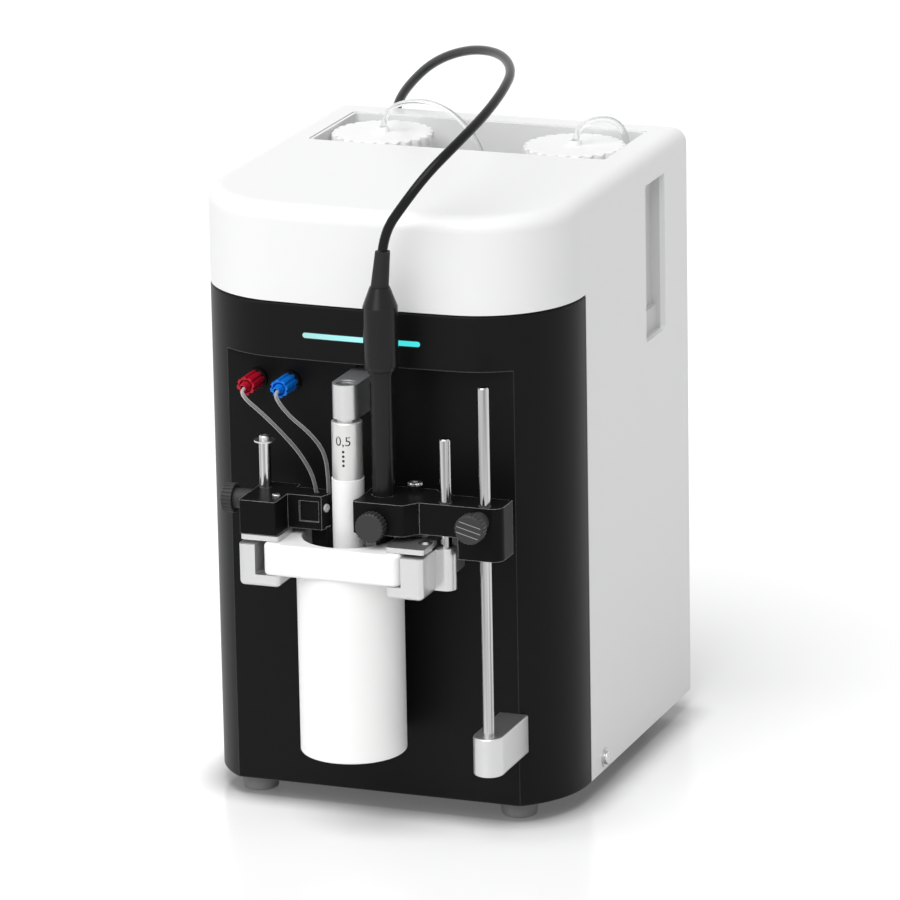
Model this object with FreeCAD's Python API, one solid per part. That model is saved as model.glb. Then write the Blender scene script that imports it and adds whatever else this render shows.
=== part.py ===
import FreeCAD, Part
import math
import os
from FreeCAD import Vector

# Bench analyser for the zeta and streaming potential of suspensions, in millimetres.
# x runs to the right seen from the front, y from the front to the rear, z up from the table.
# While modelling, y is 0 at the foremost point of the housing, and export moves the
# finished pieces so that the origin is under the middle of the whole.

# Housing
BODY_WIDTH = 200.0
BODY_DEPTH = 220.0
BODY_HEIGHT = 312.0
FOOT_HEIGHT = 9.0
FRONT_BOW_RADIUS = 1000.0
FRONT_CORNER_RADIUS = 53.0
TOP_FILLET = 8.0
PANEL_TOP_FILLET = 1.5
COVER_WALL = 3.0
PANEL_WALL = 3.0
LEDGE_HEIGHT = 232.0
STRIP_HEIGHT = 29.5
FLAT_SETBACK = 11.2
SIDE_SPLIT_DEPTH = 59.5
SEAM_GAP = 0.4
LIP_THICKNESS = 1.5
LIP_REACH = 5.0
FIT_GAP = 0.3
RUNNING_GAP = 0.05

# Base, feet and rear panel
BASE_THICKNESS = 2.0
BASE_FLANGE_HEIGHT = 14.0
FOOT_TOP_RADIUS = 10.5
FOOT_BOTTOM_RADIUS = 9.0
FOOT_SIDE_OFFSET = 72.0
FOOT_FRONT_SETBACK = 26.5
FOOT_REAR_SETBACK = 22.0
FOOT_RECESS_DEPTH = 5.0
REAR_PANEL_THICKNESS = 2.0
REAR_PANEL_SETBACK = 2.0
VENT_LENGTH = 34.0
VENT_HEIGHT = 3.0
VENT_PITCH = 6.5
VENT_COUNT = 8
VENT_BASE_HEIGHT = 120.0
VENT_SIDE_OFFSET = 42.0

# Screws
SCREW_SHANK_RADIUS = 2.0
SCREW_HEAD_RADIUS = 3.6
SCREW_HEAD_HEIGHT = 1.8
WASHER_RADIUS = 5.0
WASHER_THICKNESS = 0.8
SIDE_SCREW_DEPTH = 80.0
SIDE_SCREW_HEIGHT = 6.6
REAR_BOSS_RADIUS = 4.5
REAR_BOSS_LENGTH = 12.0
REAR_SCREW_INSET = 8.0
SCREW_INSET = 4.5
BRACKET_SCREW_BITE = 8.0

# Light bar
LED_LENGTH = 63.8
LED_HEIGHT = 2.7
LED_RISE = 13.0
LED_THICKNESS = 4.0

# Bottle well, bottles and caps
WELL_SIDE_INSET = 16.5
WELL_FRONT = 140.0
WELL_REAR = 207.0
WELL_CORNER_RADIUS = 3.0
WELL_WALL = 1.6
WELL_FLANGE = 3.0
BOTTLE_SEAT_HEIGHT = 208.0
WELL_FLOOR_ABOVE_SEAT = 3.0
BOTTLE_SIDE_INSET = 29.5
BOTTLE_RADIUS = 27.0
BOTTLE_GLASS = 2.0
BOTTLE_HEIGHT = 99.8
BOTTLE_SHOULDER_HEIGHT = 68.0
BOTTLE_NECK_RADIUS = 20.5
BOTTLE_NECK_HEIGHT = 22.0
CAP_RADIUS = 27.2
CAP_HEIGHT = 24.0
CAP_TOP_THICKNESS = 2.5
CAP_LOBES = 24
CAP_LOBE_DEPTH = 2.2
CAP_LOBE_SHARE = 0.72
CAP_EDGE_CHAMFER = 0.7
CAP_PORT_RADIUS = 4.0
CAP_PORT_HEIGHT = 2.6
CAP_NECK_GAP = 0.5
LEFT_BOTTLE_TUBE_DIAMETER = 2.8
RIGHT_BOTTLE_TUBE_DIAMETER = 3.4

# Side grips
GRIP_FRONT = 153.0
GRIP_REAR = 184.0
GRIP_BOTTOM = 211.6
GRIP_TOP = 296.0
GRIP_DEPTH = 8.0
GRIP_WALL = 1.6
GRIP_CORNER_RADIUS = 2.0
GRIP_FLANGE = 4.0
GRIP_STEP_HEIGHT = 13.0
GRIP_STEP_DEPTH = 3.0

# Measuring cell
CELL_AXIS_SETBACK = -21.5
CELL_RADIUS = 27.3
CELL_BOTTOM_HEIGHT = 34.5
CELL_BORE_RADIUS = 24.0
BORE_CHAMFER = 0.4
CELL_BORE_FLOOR_HEIGHT = 86.0
GAP_BORE_FLOOR_HEIGHT = 44.0
COLLAR_LEFT = -36.4
COLLAR_RIGHT = 37.5
COLLAR_HALF_DEPTH = 28.8
COLLAR_THICKNESS = 16.6
COLLAR_BOTTOM_HEIGHT = 131.9
COLLAR_CORNER_RADIUS = 4.5
COLLAR_EDGE_RADIUS = 1.8
ELECTRODE_WIDTH = 1.5
ELECTRODE_HEIGHT = 4.0
UPPER_ELECTRODE_HEIGHT = 96.0
LOWER_ELECTRODE_HEIGHT = 48.0

# Piston
PISTON_RADIUS = 8.3
MEASURING_GAP = 0.4
PISTON_TIP_HEIGHT = 52.0
SLEEVE_RADIUS = 7.9
SLEEVE_LENGTH = 30.0
SLEEVE_GAP = 1.8
NECK_RADIUS = 5.0
ARM_HALF_WIDTH = 7.0
ARM_HEIGHT = 17.9
ARM_UNDER_LEDGE = 3.5
ARM_TAIL_DEPTH = 33.0
ARM_SCREW_RADIUS = 4.2
ARM_COUNTERBORE_RADIUS = 5.2
ARM_COUNTERBORE_DEPTH = 5.0
PISTON_HALF_STROKE = 2.5
SLOT_CLEARANCE = 0.6

# Drive behind the panel
PLATE_THICKNESS = 4.0
PLATE_SIDE_INSET = 23.5
PLATE_ABOVE_FRAME = 1.5
PLATE_FOOT_DEPTH = 14.0
GUIDE_ROD_RADIUS = 3.0
GUIDE_ROD_OFFSET = 22.0
GUIDE_ROD_DEPTH = 40.0
FRAME_HALF_WIDTH = 33.0
FRAME_WALL = 3.0
FRAME_BELOW_ARM = 42.6
FRAME_ABOVE_ARM = 25.5
FRAME_DEPTH = 62.0
FRAME_CROSSBAR_HEIGHT = 8.0
CARRIAGE_HALF_WIDTH = 29.0
CARRIAGE_DEPTH = 14.0
CARRIAGE_BELOW_ARM = 3.6
CARRIAGE_ABOVE_ARM = 3.5
YOKE_THICKNESS = 4.0
YOKE_HALF_WIDTH = 14.0
MOTOR_AXIS_RISE = 8.9
MOTOR_RADIUS = 21.0
MOTOR_LENGTH = 42.0
MOTOR_SHAFT_RADIUS = 2.5
MOTOR_SHAFT_REACH = 9.0
CRANK_RADIUS = 11.0
CRANK_THICKNESS = 3.0
CRANK_PIN_RADIUS = 3.5
YOKE_SLOT_PLAY = 0.55

# Titrant fittings
FITTING_HEIGHT = 217.2
RED_FITTING_OFFSET = -61.5
BLUE_FITTING_OFFSET = -43.2
UNION_RADIUS = 3.0
UNION_FLANGE_RADIUS = 5.6
UNION_FLANGE_THICKNESS = 2.5
NUT_RADIUS = 4.8
NUT_LENGTH = 14.0
NUT_GAP = 0.3
NUT_FLUTES = 8
NUT_FLUTE_DEPTH = 0.8
NUT_CONE_LENGTH = 4.0
TITRANT_TUBE_DIAMETER = 2.0
PUMP_RADIUS = 8.5
PUMP_LENGTH = 48.0

# Cell fork
FORK_HALF_WIDTH = 50.0
FORK_WALL = 8.5
FORK_LEFT_REACHES = (49.5, 40.4, 27.5)
FORK_RIGHT_REACHES = (50.0, 38.4, 29.6)
FORK_FOOT_THICKNESS = 6.4
FORK_TOP_HEIGHT = 147.4
FORK_FRONT = -49.8
FORK_EDGE_RADIUS = 2.5
FORK_CORNER_RADIUS = 2.8
BOSS_RADIUS = 4.9
BOSS_LIFT = 0.4
CLAMP_THICKNESS = 2.7
CLAMP_FRONT = -46.0
CLAMP_LENGTH = 21.0
CLAMP_WIDTH = 20.5
CLAMP_PIVOT_SETBACK = -33.0
CLAMP_CORNER_RADIUS = 1.5
SHOULDER_RADIUS = 3.5
PIVOT_HEAD_RADIUS = 3.4
PIVOT_HEAD_HEIGHT = 1.2
PIVOT_DOME = 0.9
PIVOT_SEAT_DEPTH = 9.0

# Titrant tube holder and its post
POST_RADIUS = 3.0
POST_SETBACK = -20.0
POST_TOP_HEIGHT = 193.6
POST_SEAT_DEPTH = 12.0
STOP_WASHER_RADIUS = 5.4
STOP_WASHER_THICKNESS = 0.8
STOP_SCREW_RADIUS = 2.8
STOP_SCREW_HEIGHT = 2.4
HOLDER_FRONT = -46.0
HOLDER_REAR = -11.0
HOLDER_INNER = -30.3
HOLDER_TOP_HEIGHT = 169.5
GUIDE_LEFT = -27.0
GUIDE_RIGHT = -9.5
GUIDE_FRONT = -29.0
GUIDE_REAR = -16.0
GUIDE_BEVEL_WIDTH = 2.4
GUIDE_BEVEL_DEPTH = 6.5
LEG_LEFT = -19.0
LEG_FRONT = -26.0
LEG_REAR = -17.0
LEG_BOTTOM_HEIGHT = 112.0
RED_CHANNEL = (-16.8, -22.0)
BLUE_CHANNEL = (-11.0, -20.6)
TUBE_SEAT_DEPTH = 8.0
DUCT_RADIUS = 0.6
TUBE_SEAT_GAP = 0.1

# Knobs
KNOB_RADIUS = 7.7
KNOB_LENGTH = 6.0
KNOB_FLUTES = 24
KNOB_FLUTE_DEPTH = 0.5
KNOB_NECK_RADIUS = 5.2
KNOB_SCREW_RADIUS = 2.5
HOLDER_KNOB_HEIGHT = 162.0
HOLDER_KNOB_NECK = 12.0
ROD_KNOB_OFFSET = 73.9
ROD_KNOB_HEIGHT = 164.3
ROD_KNOB_NECK = 10.0
JAW_KNOB_OFFSET = 19.8
JAW_KNOB_HEIGHT = 160.0
JAW_KNOB_NECK = 1.0

# Probe and its carrier
PROBE_OFFSET = 19.0
PROBE_SETBACK = -20.5
PROBE_SHAFT_RADIUS = 6.0
PROBE_STEM_RADIUS = 4.6
PROBE_STEP_HEIGHT = 152.5
PROBE_TIP_HEIGHT = 92.0
PROBE_HEAD_BOTTOM_HEIGHT = 235.0
PROBE_HEAD_RADIUS = 8.9
PROBE_CONE_HEIGHT = 269.5
PROBE_CONE_LENGTH = 10.0
PROBE_CONE_TOP_RADIUS = 5.2
RELIEF_LENGTH = 18.5
RELIEF_BOTTOM_RADIUS = 4.6
RELIEF_TOP_RADIUS = 3.8
RELIEF_LEAN = 2.0
CABLE_DIAMETER = 5.0
ROD_RADIUS = 3.0
ROD_SETBACK = -25.0
LONG_ROD_OFFSET = 75.0
LONG_ROD_TOP_HEIGHT = 233.0
SHORT_ROD_OFFSET = 54.0
SHORT_ROD_TOP_HEIGHT = 204.6
ROD_SEAT_DEPTH = 13.0
ROD_FOOT_RADIUS = 8.0
ROD_FOOT_BOTTOM_HEIGHT = 29.5
ROD_FOOT_TOP_HEIGHT = 50.0
CARRIER_BOTTOM_HEIGHT = 154.8
CARRIER_TOP_HEIGHT = 171.3
CARRIER_FRONT = -30.0
CARRIER_REAR = -12.0
CARRIER_RIGHT = 85.0
CARRIER_BLOCK_LEFT = 62.0
CARRIER_BLOCK_BOTTOM_HEIGHT = 143.4
CARRIER_CORNER_RADIUS = 6.0
JAW_LEFT = 9.2
JAW_NOSE_LEFT = 7.6
JAW_NOSE_REAR = -30.5
JAW_RIGHT = 35.5
JAW_FRONT = -37.5
JAW_REAR = -5.0
JAW_STEP = 6.0

# Rear connectors
INLET_OFFSET = 58.0
INLET_HEIGHT = 36.0
INLET_WIDTH = 28.0
INLET_TALL = 22.0
INLET_BODY_DEPTH = 22.0
INLET_FLANGE = 2.0
INLET_FLANGE_THICKNESS = 2.0
SWITCH_HEIGHT = 66.0
SWITCH_WIDTH = 20.0
SWITCH_TALL = 13.0
SWITCH_ROCK_DEGREES = 8.0
USB_OFFSET = 20.0
USB_HEIGHT = 34.0
USB_WIDTH = 13.0
USB_TALL = 12.0
SOCKET_OFFSET = -70.0
SOCKET_HEIGHT = 222.0
SOCKET_RADIUS = 7.0
SOCKET_DEPTH = 9.0
SOCKET_LIP = 2.0
PLUG_RADIUS = 7.2
PLUG_TOP_REACH = 17.0
PLUG_NECK_RADIUS = 5.5

# Boards
BOARD_HALF_WIDTH = 62.0
BOARD_FRONT = 72.0
BOARD_REAR = 128.0
BOARD_STANDOFF = 8.0
BOARD_THICKNESS = 1.6
# Middle, width, depth and height of each chip and connector
BOARD_CHIPS = ((-30.0, 92.0, 18.0, 18.0, 2.0), (4.0, 90.0, 12.0, 12.0, 2.0),
               (32.0, 94.0, 22.0, 10.0, 3.0), (-44.0, 118.0, 24.0, 8.0, 9.0),
               (-8.0, 118.0, 30.0, 8.0, 9.0), (36.0, 118.0, 20.0, 8.0, 12.0))
# Middle, radius and height of each capacitor
BOARD_CAPACITORS = ((20.0, 106.0, 5.0, 12.0), (50.0, 84.0, 4.0, 10.0), (-52.0, 84.0, 4.0, 10.0))
SUPPLY_LEFT = -20.0
SUPPLY_RIGHT = 70.0
SUPPLY_FRONT = 138.0
SUPPLY_REAR = 182.0
SUPPLY_HEIGHT = 38.0

# Free cable and tubes, as points of their route, heights from the underside of the housing
CABLE_ROUTE = [
    (21.0, -20.5, 298.6), (22.5, -20.5, 308.4), (32.2, -20.4, 322.2), (42.8, -14.0, 337.5),
    (51.8, 3.5, 349.0), (56.5, 30.0, 357.3), (55.7, 63.0, 363.9), (48.1, 98.0, 366.7),
    (29.2, 131.0, 367.4), (0.8, 161.0, 361.3), (-29.4, 188.0, 347.3), (-53.6, 212.0, 327.4),
    (-68.0, 229.5, 311.0), (-71.2, 237.5, 297.0), (-72.2, 238.8, 282.0), (-70.1, 233.4, 266.5),
    (-70.0, 233.0, 253.6),
]
RED_TUBE_ROUTE = [
    (-61.5, 0.0, 217.2), (-61.4, -12.5, 217.1), (-56.3, -18.7, 214.4), (-47.2, -21.2, 209.2),
    (-37.0, -22.8, 201.4), (-24.8, -23.4, 189.8), (-16.9, -22.1, 174.5), (-16.8, -22.0, 162.5),
]
BLUE_TUBE_ROUTE = [
    (-43.2, 0.0, 217.2), (-43.1, -12.0, 217.1), (-38.2, -18.0, 213.4), (-30.5, -20.2, 206.8),
    (-20.8, -21.6, 200.8), (-12.2, -22.0, 191.4), (-10.9, -20.7, 177.0), (-11.0, -20.6, 163.5),
]
LEFT_BOTTLE_TUBE_ROUTE = [
    (-54.0, 173.5, 216.0), (-54.1, 173.6, 240.0), (-53.9, 173.5, 265.0), (-54.1, 173.4, 290.0),
    (-54.0, 173.5, 314.9), (-49.6, 173.6, 323.4), (-40.3, 173.7, 327.4), (-27.5, 173.9, 328.4),
    (-16.5, 174.1, 324.2), (-7.5, 174.3, 316.8), (-0.4, 174.5, 307.6), (3.6, 174.6, 295.6),
    (4.6, 174.5, 280.6), (4.4, 174.6, 258.6), (4.6, 174.5, 236.0), (4.5, 174.6, 213.5),
]
RIGHT_BOTTLE_TUBE_ROUTE = [
    (54.0, 173.5, 216.0), (54.1, 173.6, 241.0), (53.9, 173.5, 266.0), (54.1, 173.4, 290.0),
    (54.0, 173.5, 314.9), (58.2, 175.0, 321.4), (64.5, 180.0, 323.6), (70.2, 188.0, 321.6),
    (73.4, 195.2, 315.6), (74.8, 199.0, 303.0), (75.0, 199.2, 281.0), (74.8, 199.1, 259.0),
    (75.0, 199.2, 236.0), (74.9, 199.1, 213.5),
]

# Places that follow from the sizes above
HALF_WIDTH = BODY_WIDTH / 2
WELL_HALF_WIDTH = HALF_WIDTH - WELL_SIDE_INSET
BOTTLE_OFFSET = WELL_HALF_WIDTH - BOTTLE_SIDE_INSET
PLATE_HALF_WIDTH = HALF_WIDTH - PLATE_SIDE_INSET
SPLIT_HEIGHT = LEDGE_HEIGHT + STRIP_HEIGHT
LED_CENTRE_HEIGHT = LEDGE_HEIGHT + LED_RISE
ARM_TOP_HEIGHT = LEDGE_HEIGHT - ARM_UNDER_LEDGE
ARM_BOTTOM_HEIGHT = ARM_TOP_HEIGHT - ARM_HEIGHT
SLEEVE_TOP_HEIGHT = ARM_BOTTOM_HEIGHT - SLEEVE_GAP
PISTON_SHOULDER_HEIGHT = SLEEVE_TOP_HEIGHT - SLEEVE_LENGTH
CARRIAGE_BOTTOM_HEIGHT = ARM_BOTTOM_HEIGHT - CARRIAGE_BELOW_ARM
CARRIAGE_TOP_HEIGHT = ARM_TOP_HEIGHT + CARRIAGE_ABOVE_ARM
MOTOR_AXIS_HEIGHT = ARM_BOTTOM_HEIGHT + MOTOR_AXIS_RISE
FRAME_BOTTOM_HEIGHT = ARM_BOTTOM_HEIGHT - FRAME_BELOW_ARM
FRAME_TOP_HEIGHT = ARM_TOP_HEIGHT + FRAME_ABOVE_ARM
PLATE_TOP_HEIGHT = FRAME_TOP_HEIGHT + PLATE_ABOVE_FRAME
UNDERSIDE = FOOT_HEIGHT
BODY_TOP = UNDERSIDE + BODY_HEIGHT
PANEL_BACK = FLAT_SETBACK + PANEL_WALL
PLATE_BACK = PANEL_BACK + PLATE_THICKNESS
REAR_PANEL_FRONT = BODY_DEPTH - REAR_PANEL_SETBACK - REAR_PANEL_THICKNESS
REAR_PANEL_BACK = BODY_DEPTH - REAR_PANEL_SETBACK
COLLAR_TOP_HEIGHT = COLLAR_BOTTOM_HEIGHT + COLLAR_THICKNESS
COLLAR_FRONT = CELL_AXIS_SETBACK - COLLAR_HALF_DEPTH
CLAMP_BOTTOM_HEIGHT = COLLAR_TOP_HEIGHT + FIT_GAP
CLAMP_TOP_HEIGHT = CLAMP_BOTTOM_HEIGHT + CLAMP_THICKNESS
HOLDER_BOTTOM_HEIGHT = CLAMP_TOP_HEIGHT + FIT_GAP
FORK_BOTTOM_HEIGHT = COLLAR_BOTTOM_HEIGHT - FORK_FOOT_THICKNESS
FORK_WALL_MIDDLE = FORK_HALF_WIDTH - FORK_WALL / 2
GAP_BORE_RADIUS = PISTON_RADIUS + MEASURING_GAP
WELL_MIDDLE = (WELL_FRONT + WELL_REAR) / 2
CAP_TOP_HEIGHT = BOTTLE_SEAT_HEIGHT + BOTTLE_HEIGHT + CAP_TOP_THICKNESS
FEET = [(side * FOOT_SIDE_OFFSET, y)
        for y in (FOOT_FRONT_SETBACK, BODY_DEPTH - FOOT_REAR_SETBACK)
        for side in (-1, 1)]
FRONT_REACH = COLLAR_FRONT
REAR_REACH = BODY_DEPTH
ORIGIN_SHIFT = Vector(0, -(FRONT_REACH + REAR_REACH) / 2, 0)


def level(height):
    """Height above the table of a height given from the underside of the housing."""
    return UNDERSIDE + height


def box(x0, x1, y0, y1, z0, z1):
    """Axis-aligned block between two corners, heights from the table."""
    return Part.makeBox(x1 - x0, y1 - y0, z1 - z0, Vector(x0, y0, z0))


def post(x, y, z0, z1, radius):
    """Upright cylinder."""
    return Part.makeCylinder(radius, z1 - z0, Vector(x, y, z0), Vector(0, 0, 1))


def bar_y(x, z, y0, y1, radius):
    """Cylinder that runs from front to rear."""
    return Part.makeCylinder(radius, y1 - y0, Vector(x, y0, z), Vector(0, 1, 0))


def bar_x(y, z, x0, x1, radius):
    """Cylinder that runs from left to right."""
    return Part.makeCylinder(radius, x1 - x0, Vector(x0, y, z), Vector(1, 0, 0))


def prism(points, z0, z1):
    """Upright prism on a plan outline."""
    corners = [Vector(x, y, z0) for x, y in points]
    wire = Part.makePolygon(corners + [corners[0]])
    return Part.Face(wire).extrude(Vector(0, 0, z1 - z0))


def cone(x, y, z0, z1, r0, r1):
    """Upright cone frustum."""
    return Part.makeCone(r0, r1, z1 - z0, Vector(x, y, z0), Vector(0, 0, 1))


def fuse(shapes):
    """One solid out of several that touch."""
    whole = shapes[0]
    if len(shapes) > 1:
        whole = whole.fuse(shapes[1:])
    return whole.removeSplitter()


def upright_edges(shape):
    """Edges that stand upright."""
    found = []
    for edge in shape.Edges:
        a, b = edge.Vertexes[0].Point, edge.Vertexes[-1].Point
        if abs(a.x - b.x) < 1e-6 and abs(a.y - b.y) < 1e-6 and abs(a.z - b.z) > 1e-6:
            found.append(edge)
    return found


def edges_along_y(shape):
    """Straight edges that run from front to rear."""
    found = []
    for edge in shape.Edges:
        a, b = edge.Vertexes[0].Point, edge.Vertexes[-1].Point
        if abs(a.x - b.x) < 1e-6 and abs(a.z - b.z) < 1e-6 and abs(a.y - b.y) > 1e-6:
            found.append(edge)
    return found


def edges_at_height(shape, z):
    """Edges that lie in one level plane."""
    return [e for e in shape.Edges
            if abs(e.BoundBox.ZMin - z) < 1e-5 and abs(e.BoundBox.ZMax - z) < 1e-5]


def rounded_block(x0, x1, y0, y1, z0, z1, radius):
    """Block with rounded upright edges."""
    block = box(x0, x1, y0, y1, z0, z1)
    return block.makeFillet(radius, upright_edges(block))


def fluted_face(radius, count, depth):
    """Round outline with shallow flutes, flat at height 0."""
    edges = []
    pitch = 2 * math.pi / count

    def at(angle, r):
        return Vector(r * math.cos(angle), r * math.sin(angle), 0)

    for i in range(count):
        start = i * pitch
        land_end = start + pitch * 0.5
        end = start + pitch
        edges.append(Part.Arc(at(start, radius), at((start + land_end) / 2, radius),
                              at(land_end, radius)).toShape())
        edges.append(Part.Arc(at(land_end, radius), at((land_end + end) / 2, radius - depth),
                              at(end, radius)).toShape())
    return Part.Face(Part.Wire(edges))


def lobed_face(radius, count, depth, share):
    """Round outline of bulging lobes with narrow valleys, flat at height 0."""
    edges = []
    pitch = 2 * math.pi / count
    shoulder = radius - depth * 0.5

    def at(angle, r):
        return Vector(r * math.cos(angle), r * math.sin(angle), 0)

    for i in range(count):
        start = i * pitch
        lobe_end = start + pitch * share
        end = start + pitch
        edges.append(Part.Arc(at(start, shoulder), at((start + lobe_end) / 2, radius),
                              at(lobe_end, shoulder)).toShape())
        edges.append(Part.Arc(at(lobe_end, shoulder), at((lobe_end + end) / 2, radius - depth),
                              at(end, shoulder)).toShape())
    return Part.Face(Part.Wire(edges))


def fluted_disc(radius, count, depth, height):
    """Fluted disc that stands on height 0."""
    return fluted_face(radius, count, depth).extrude(Vector(0, 0, height))


def revolve_profile(points, x, y):
    """Solid of revolution about an upright axis, from radius and height pairs."""
    corners = [Vector(r, 0, z) for r, z in points]
    wire = Part.makePolygon(corners + [corners[0]])
    solid = Part.Face(wire).revolve(Vector(0, 0, 0), Vector(0, 0, 1), 360)
    solid.translate(Vector(x, y, 0))
    return solid


def body_outline(inset, rear):
    """Plan of the housing with its bowed front, drawn in by the inset."""
    half = HALF_WIDTH - inset
    bow_radius = FRONT_BOW_RADIUS - inset
    corner_radius = FRONT_CORNER_RADIUS - inset
    centre_x = HALF_WIDTH - FRONT_CORNER_RADIUS
    reach = FRONT_BOW_RADIUS - FRONT_CORNER_RADIUS
    centre_y = FRONT_BOW_RADIUS - math.sqrt(reach ** 2 - centre_x ** 2)
    lean = math.asin(centre_x / reach)
    tangent = Vector(bow_radius * math.sin(lean), FRONT_BOW_RADIUS - bow_radius * math.cos(lean), 0)
    front = Vector(0, inset, 0)
    half_turn = (math.pi / 2 - lean) / 2
    middle = Vector(centre_x + corner_radius * math.cos(half_turn),
                    centre_y - corner_radius * math.sin(half_turn), 0)
    side_start = Vector(half, centre_y, 0)
    side_end = Vector(half, rear, 0)

    def mirrored(p):
        return Vector(-p.x, p.y, p.z)

    edges = [
        Part.Arc(mirrored(tangent), front, tangent).toShape(),
        Part.Arc(tangent, middle, side_start).toShape(),
        Part.LineSegment(side_start, side_end).toShape(),
        Part.LineSegment(side_end, mirrored(side_end)).toShape(),
        Part.LineSegment(mirrored(side_end), mirrored(side_start)).toShape(),
        Part.Arc(mirrored(side_start), mirrored(middle), mirrored(tangent)).toShape(),
    ]
    return Part.Face(Part.Wire(edges))


def body_prism(inset, rear, z0, z1):
    """Housing outline as a prism between two heights."""
    face = body_outline(inset, rear)
    face.translate(Vector(0, 0, z0))
    return face.extrude(Vector(0, 0, z1 - z0))


def rounded_body(inset, rear, z0, z1, fillet):
    """Housing prism with its top edge rounded along the front and the sides."""
    solid = body_prism(inset, rear, z0, z1)
    edges = [e for e in edges_at_height(solid, z1) if e.BoundBox.YMax - e.BoundBox.YMin > 1e-3]
    return solid.makeFillet(fillet, edges)


def route_edges(points):
    """Straight runs joined by tangent arcs, with the radii of the arcs."""
    edges = []
    radii = []
    start = points[0]
    for before, corner, after in zip(points, points[1:], points[2:]):
        back = before - corner
        ahead = after - corner
        turn = math.pi - back.getAngle(ahead)
        cut = 0.45 * min(back.Length, ahead.Length)
        radius = cut / math.tan(turn / 2)
        arc_start = corner + back.normalize() * cut
        arc_end = corner + ahead.normalize() * cut
        inward = (back + ahead).normalize()
        middle = corner + inward * (radius / math.cos(turn / 2) - radius)
        edges.append(Part.LineSegment(start, arc_start).toShape())
        edges.append(Part.Arc(arc_start, middle, arc_end).toShape())
        start = arc_end
        radii.append(radius)
    edges.append(Part.LineSegment(start, points[-1]).toShape())
    return edges, radii


def cord(name, route, diameter):
    """Round cord along a route, with its tightest radius and volume printed."""
    points = [Vector(x, y, level(z)) for x, y, z in route]
    edges, radii = route_edges(points)
    path = Part.Wire(edges)
    circle = Part.Circle(points[0], points[1] - points[0], diameter / 2)
    profile = Part.Wire([circle.toShape()])
    solid = path.makePipeShell([profile], True, True)
    expected = math.pi * diameter ** 2 / 4 * path.Length
    print(name, "length", round(path.Length, 1), "radii", [round(r, 1) for r in radii],
          "volume ratio", round(solid.Volume / expected, 4))
    return solid


# Housing pieces

def grip_window(side):
    """Slot through one side wall for the grip."""
    x = side * HALF_WIDTH
    block = box(x - 10, x + 10, GRIP_FRONT, GRIP_REAR, level(GRIP_BOTTOM), level(GRIP_TOP))
    edges = [e for e in block.Edges if abs(e.BoundBox.XMax - e.BoundBox.XMin) > 1]
    return block.makeFillet(GRIP_CORNER_RADIUS, edges)


def rear_screw_places():
    """Screw places at the corners of the rear panel, as x and height."""
    inner = HALF_WIDTH - COVER_WALL - REAR_SCREW_INSET
    low = UNDERSIDE + BASE_FLANGE_HEIGHT + REAR_SCREW_INSET
    high = BODY_TOP - COVER_WALL - REAR_SCREW_INSET
    return [(side * inner, z) for z in (low, high) for side in (-1, 1)]


def make_top_cover():
    """White shell: fascia band, top and both sides, open at the rear and below."""
    outer = rounded_body(0, BODY_DEPTH, UNDERSIDE, BODY_TOP, TOP_FILLET)
    inner = rounded_body(COVER_WALL, BODY_DEPTH + 1, UNDERSIDE - 1, BODY_TOP - COVER_WALL,
                         TOP_FILLET - COVER_WALL)
    shell = outer.cut(inner)
    front_gap = box(-BODY_WIDTH, BODY_WIDTH, -10, SIDE_SPLIT_DEPTH, 0, level(SPLIT_HEIGHT))
    shell = shell.cut(front_gap)
    boss_reach = REAR_SCREW_INSET + COVER_WALL / 2
    bosses = []
    for x, z in rear_screw_places():
        side = 1 if x > 0 else -1
        y0 = REAR_PANEL_FRONT - REAR_BOSS_LENGTH
        bosses.append(bar_y(x, z, y0, REAR_PANEL_FRONT, REAR_BOSS_RADIUS))
        bosses.append(box(min(x, x + side * boss_reach), max(x, x + side * boss_reach),
                          y0, REAR_PANEL_FRONT, z - 1.5, z + 1.5))
    shell = fuse([shell] + bosses)
    well = rounded_block(-WELL_HALF_WIDTH, WELL_HALF_WIDTH, WELL_FRONT, WELL_REAR,
                         level(BOTTLE_SEAT_HEIGHT), BODY_TOP + 1, WELL_CORNER_RADIUS)
    cuts = [well, grip_window(-1), grip_window(1)]
    for x, z in rear_screw_places():
        cuts.append(bar_y(x, z, REAR_PANEL_FRONT - REAR_BOSS_LENGTH + 2, BODY_DEPTH,
                          SCREW_SHANK_RADIUS))
    cuts.append(bar_x(SIDE_SCREW_DEPTH, level(SIDE_SCREW_HEIGHT), -BODY_WIDTH, BODY_WIDTH,
                      SCREW_SHANK_RADIUS))
    return shell.cut(cuts)


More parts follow.
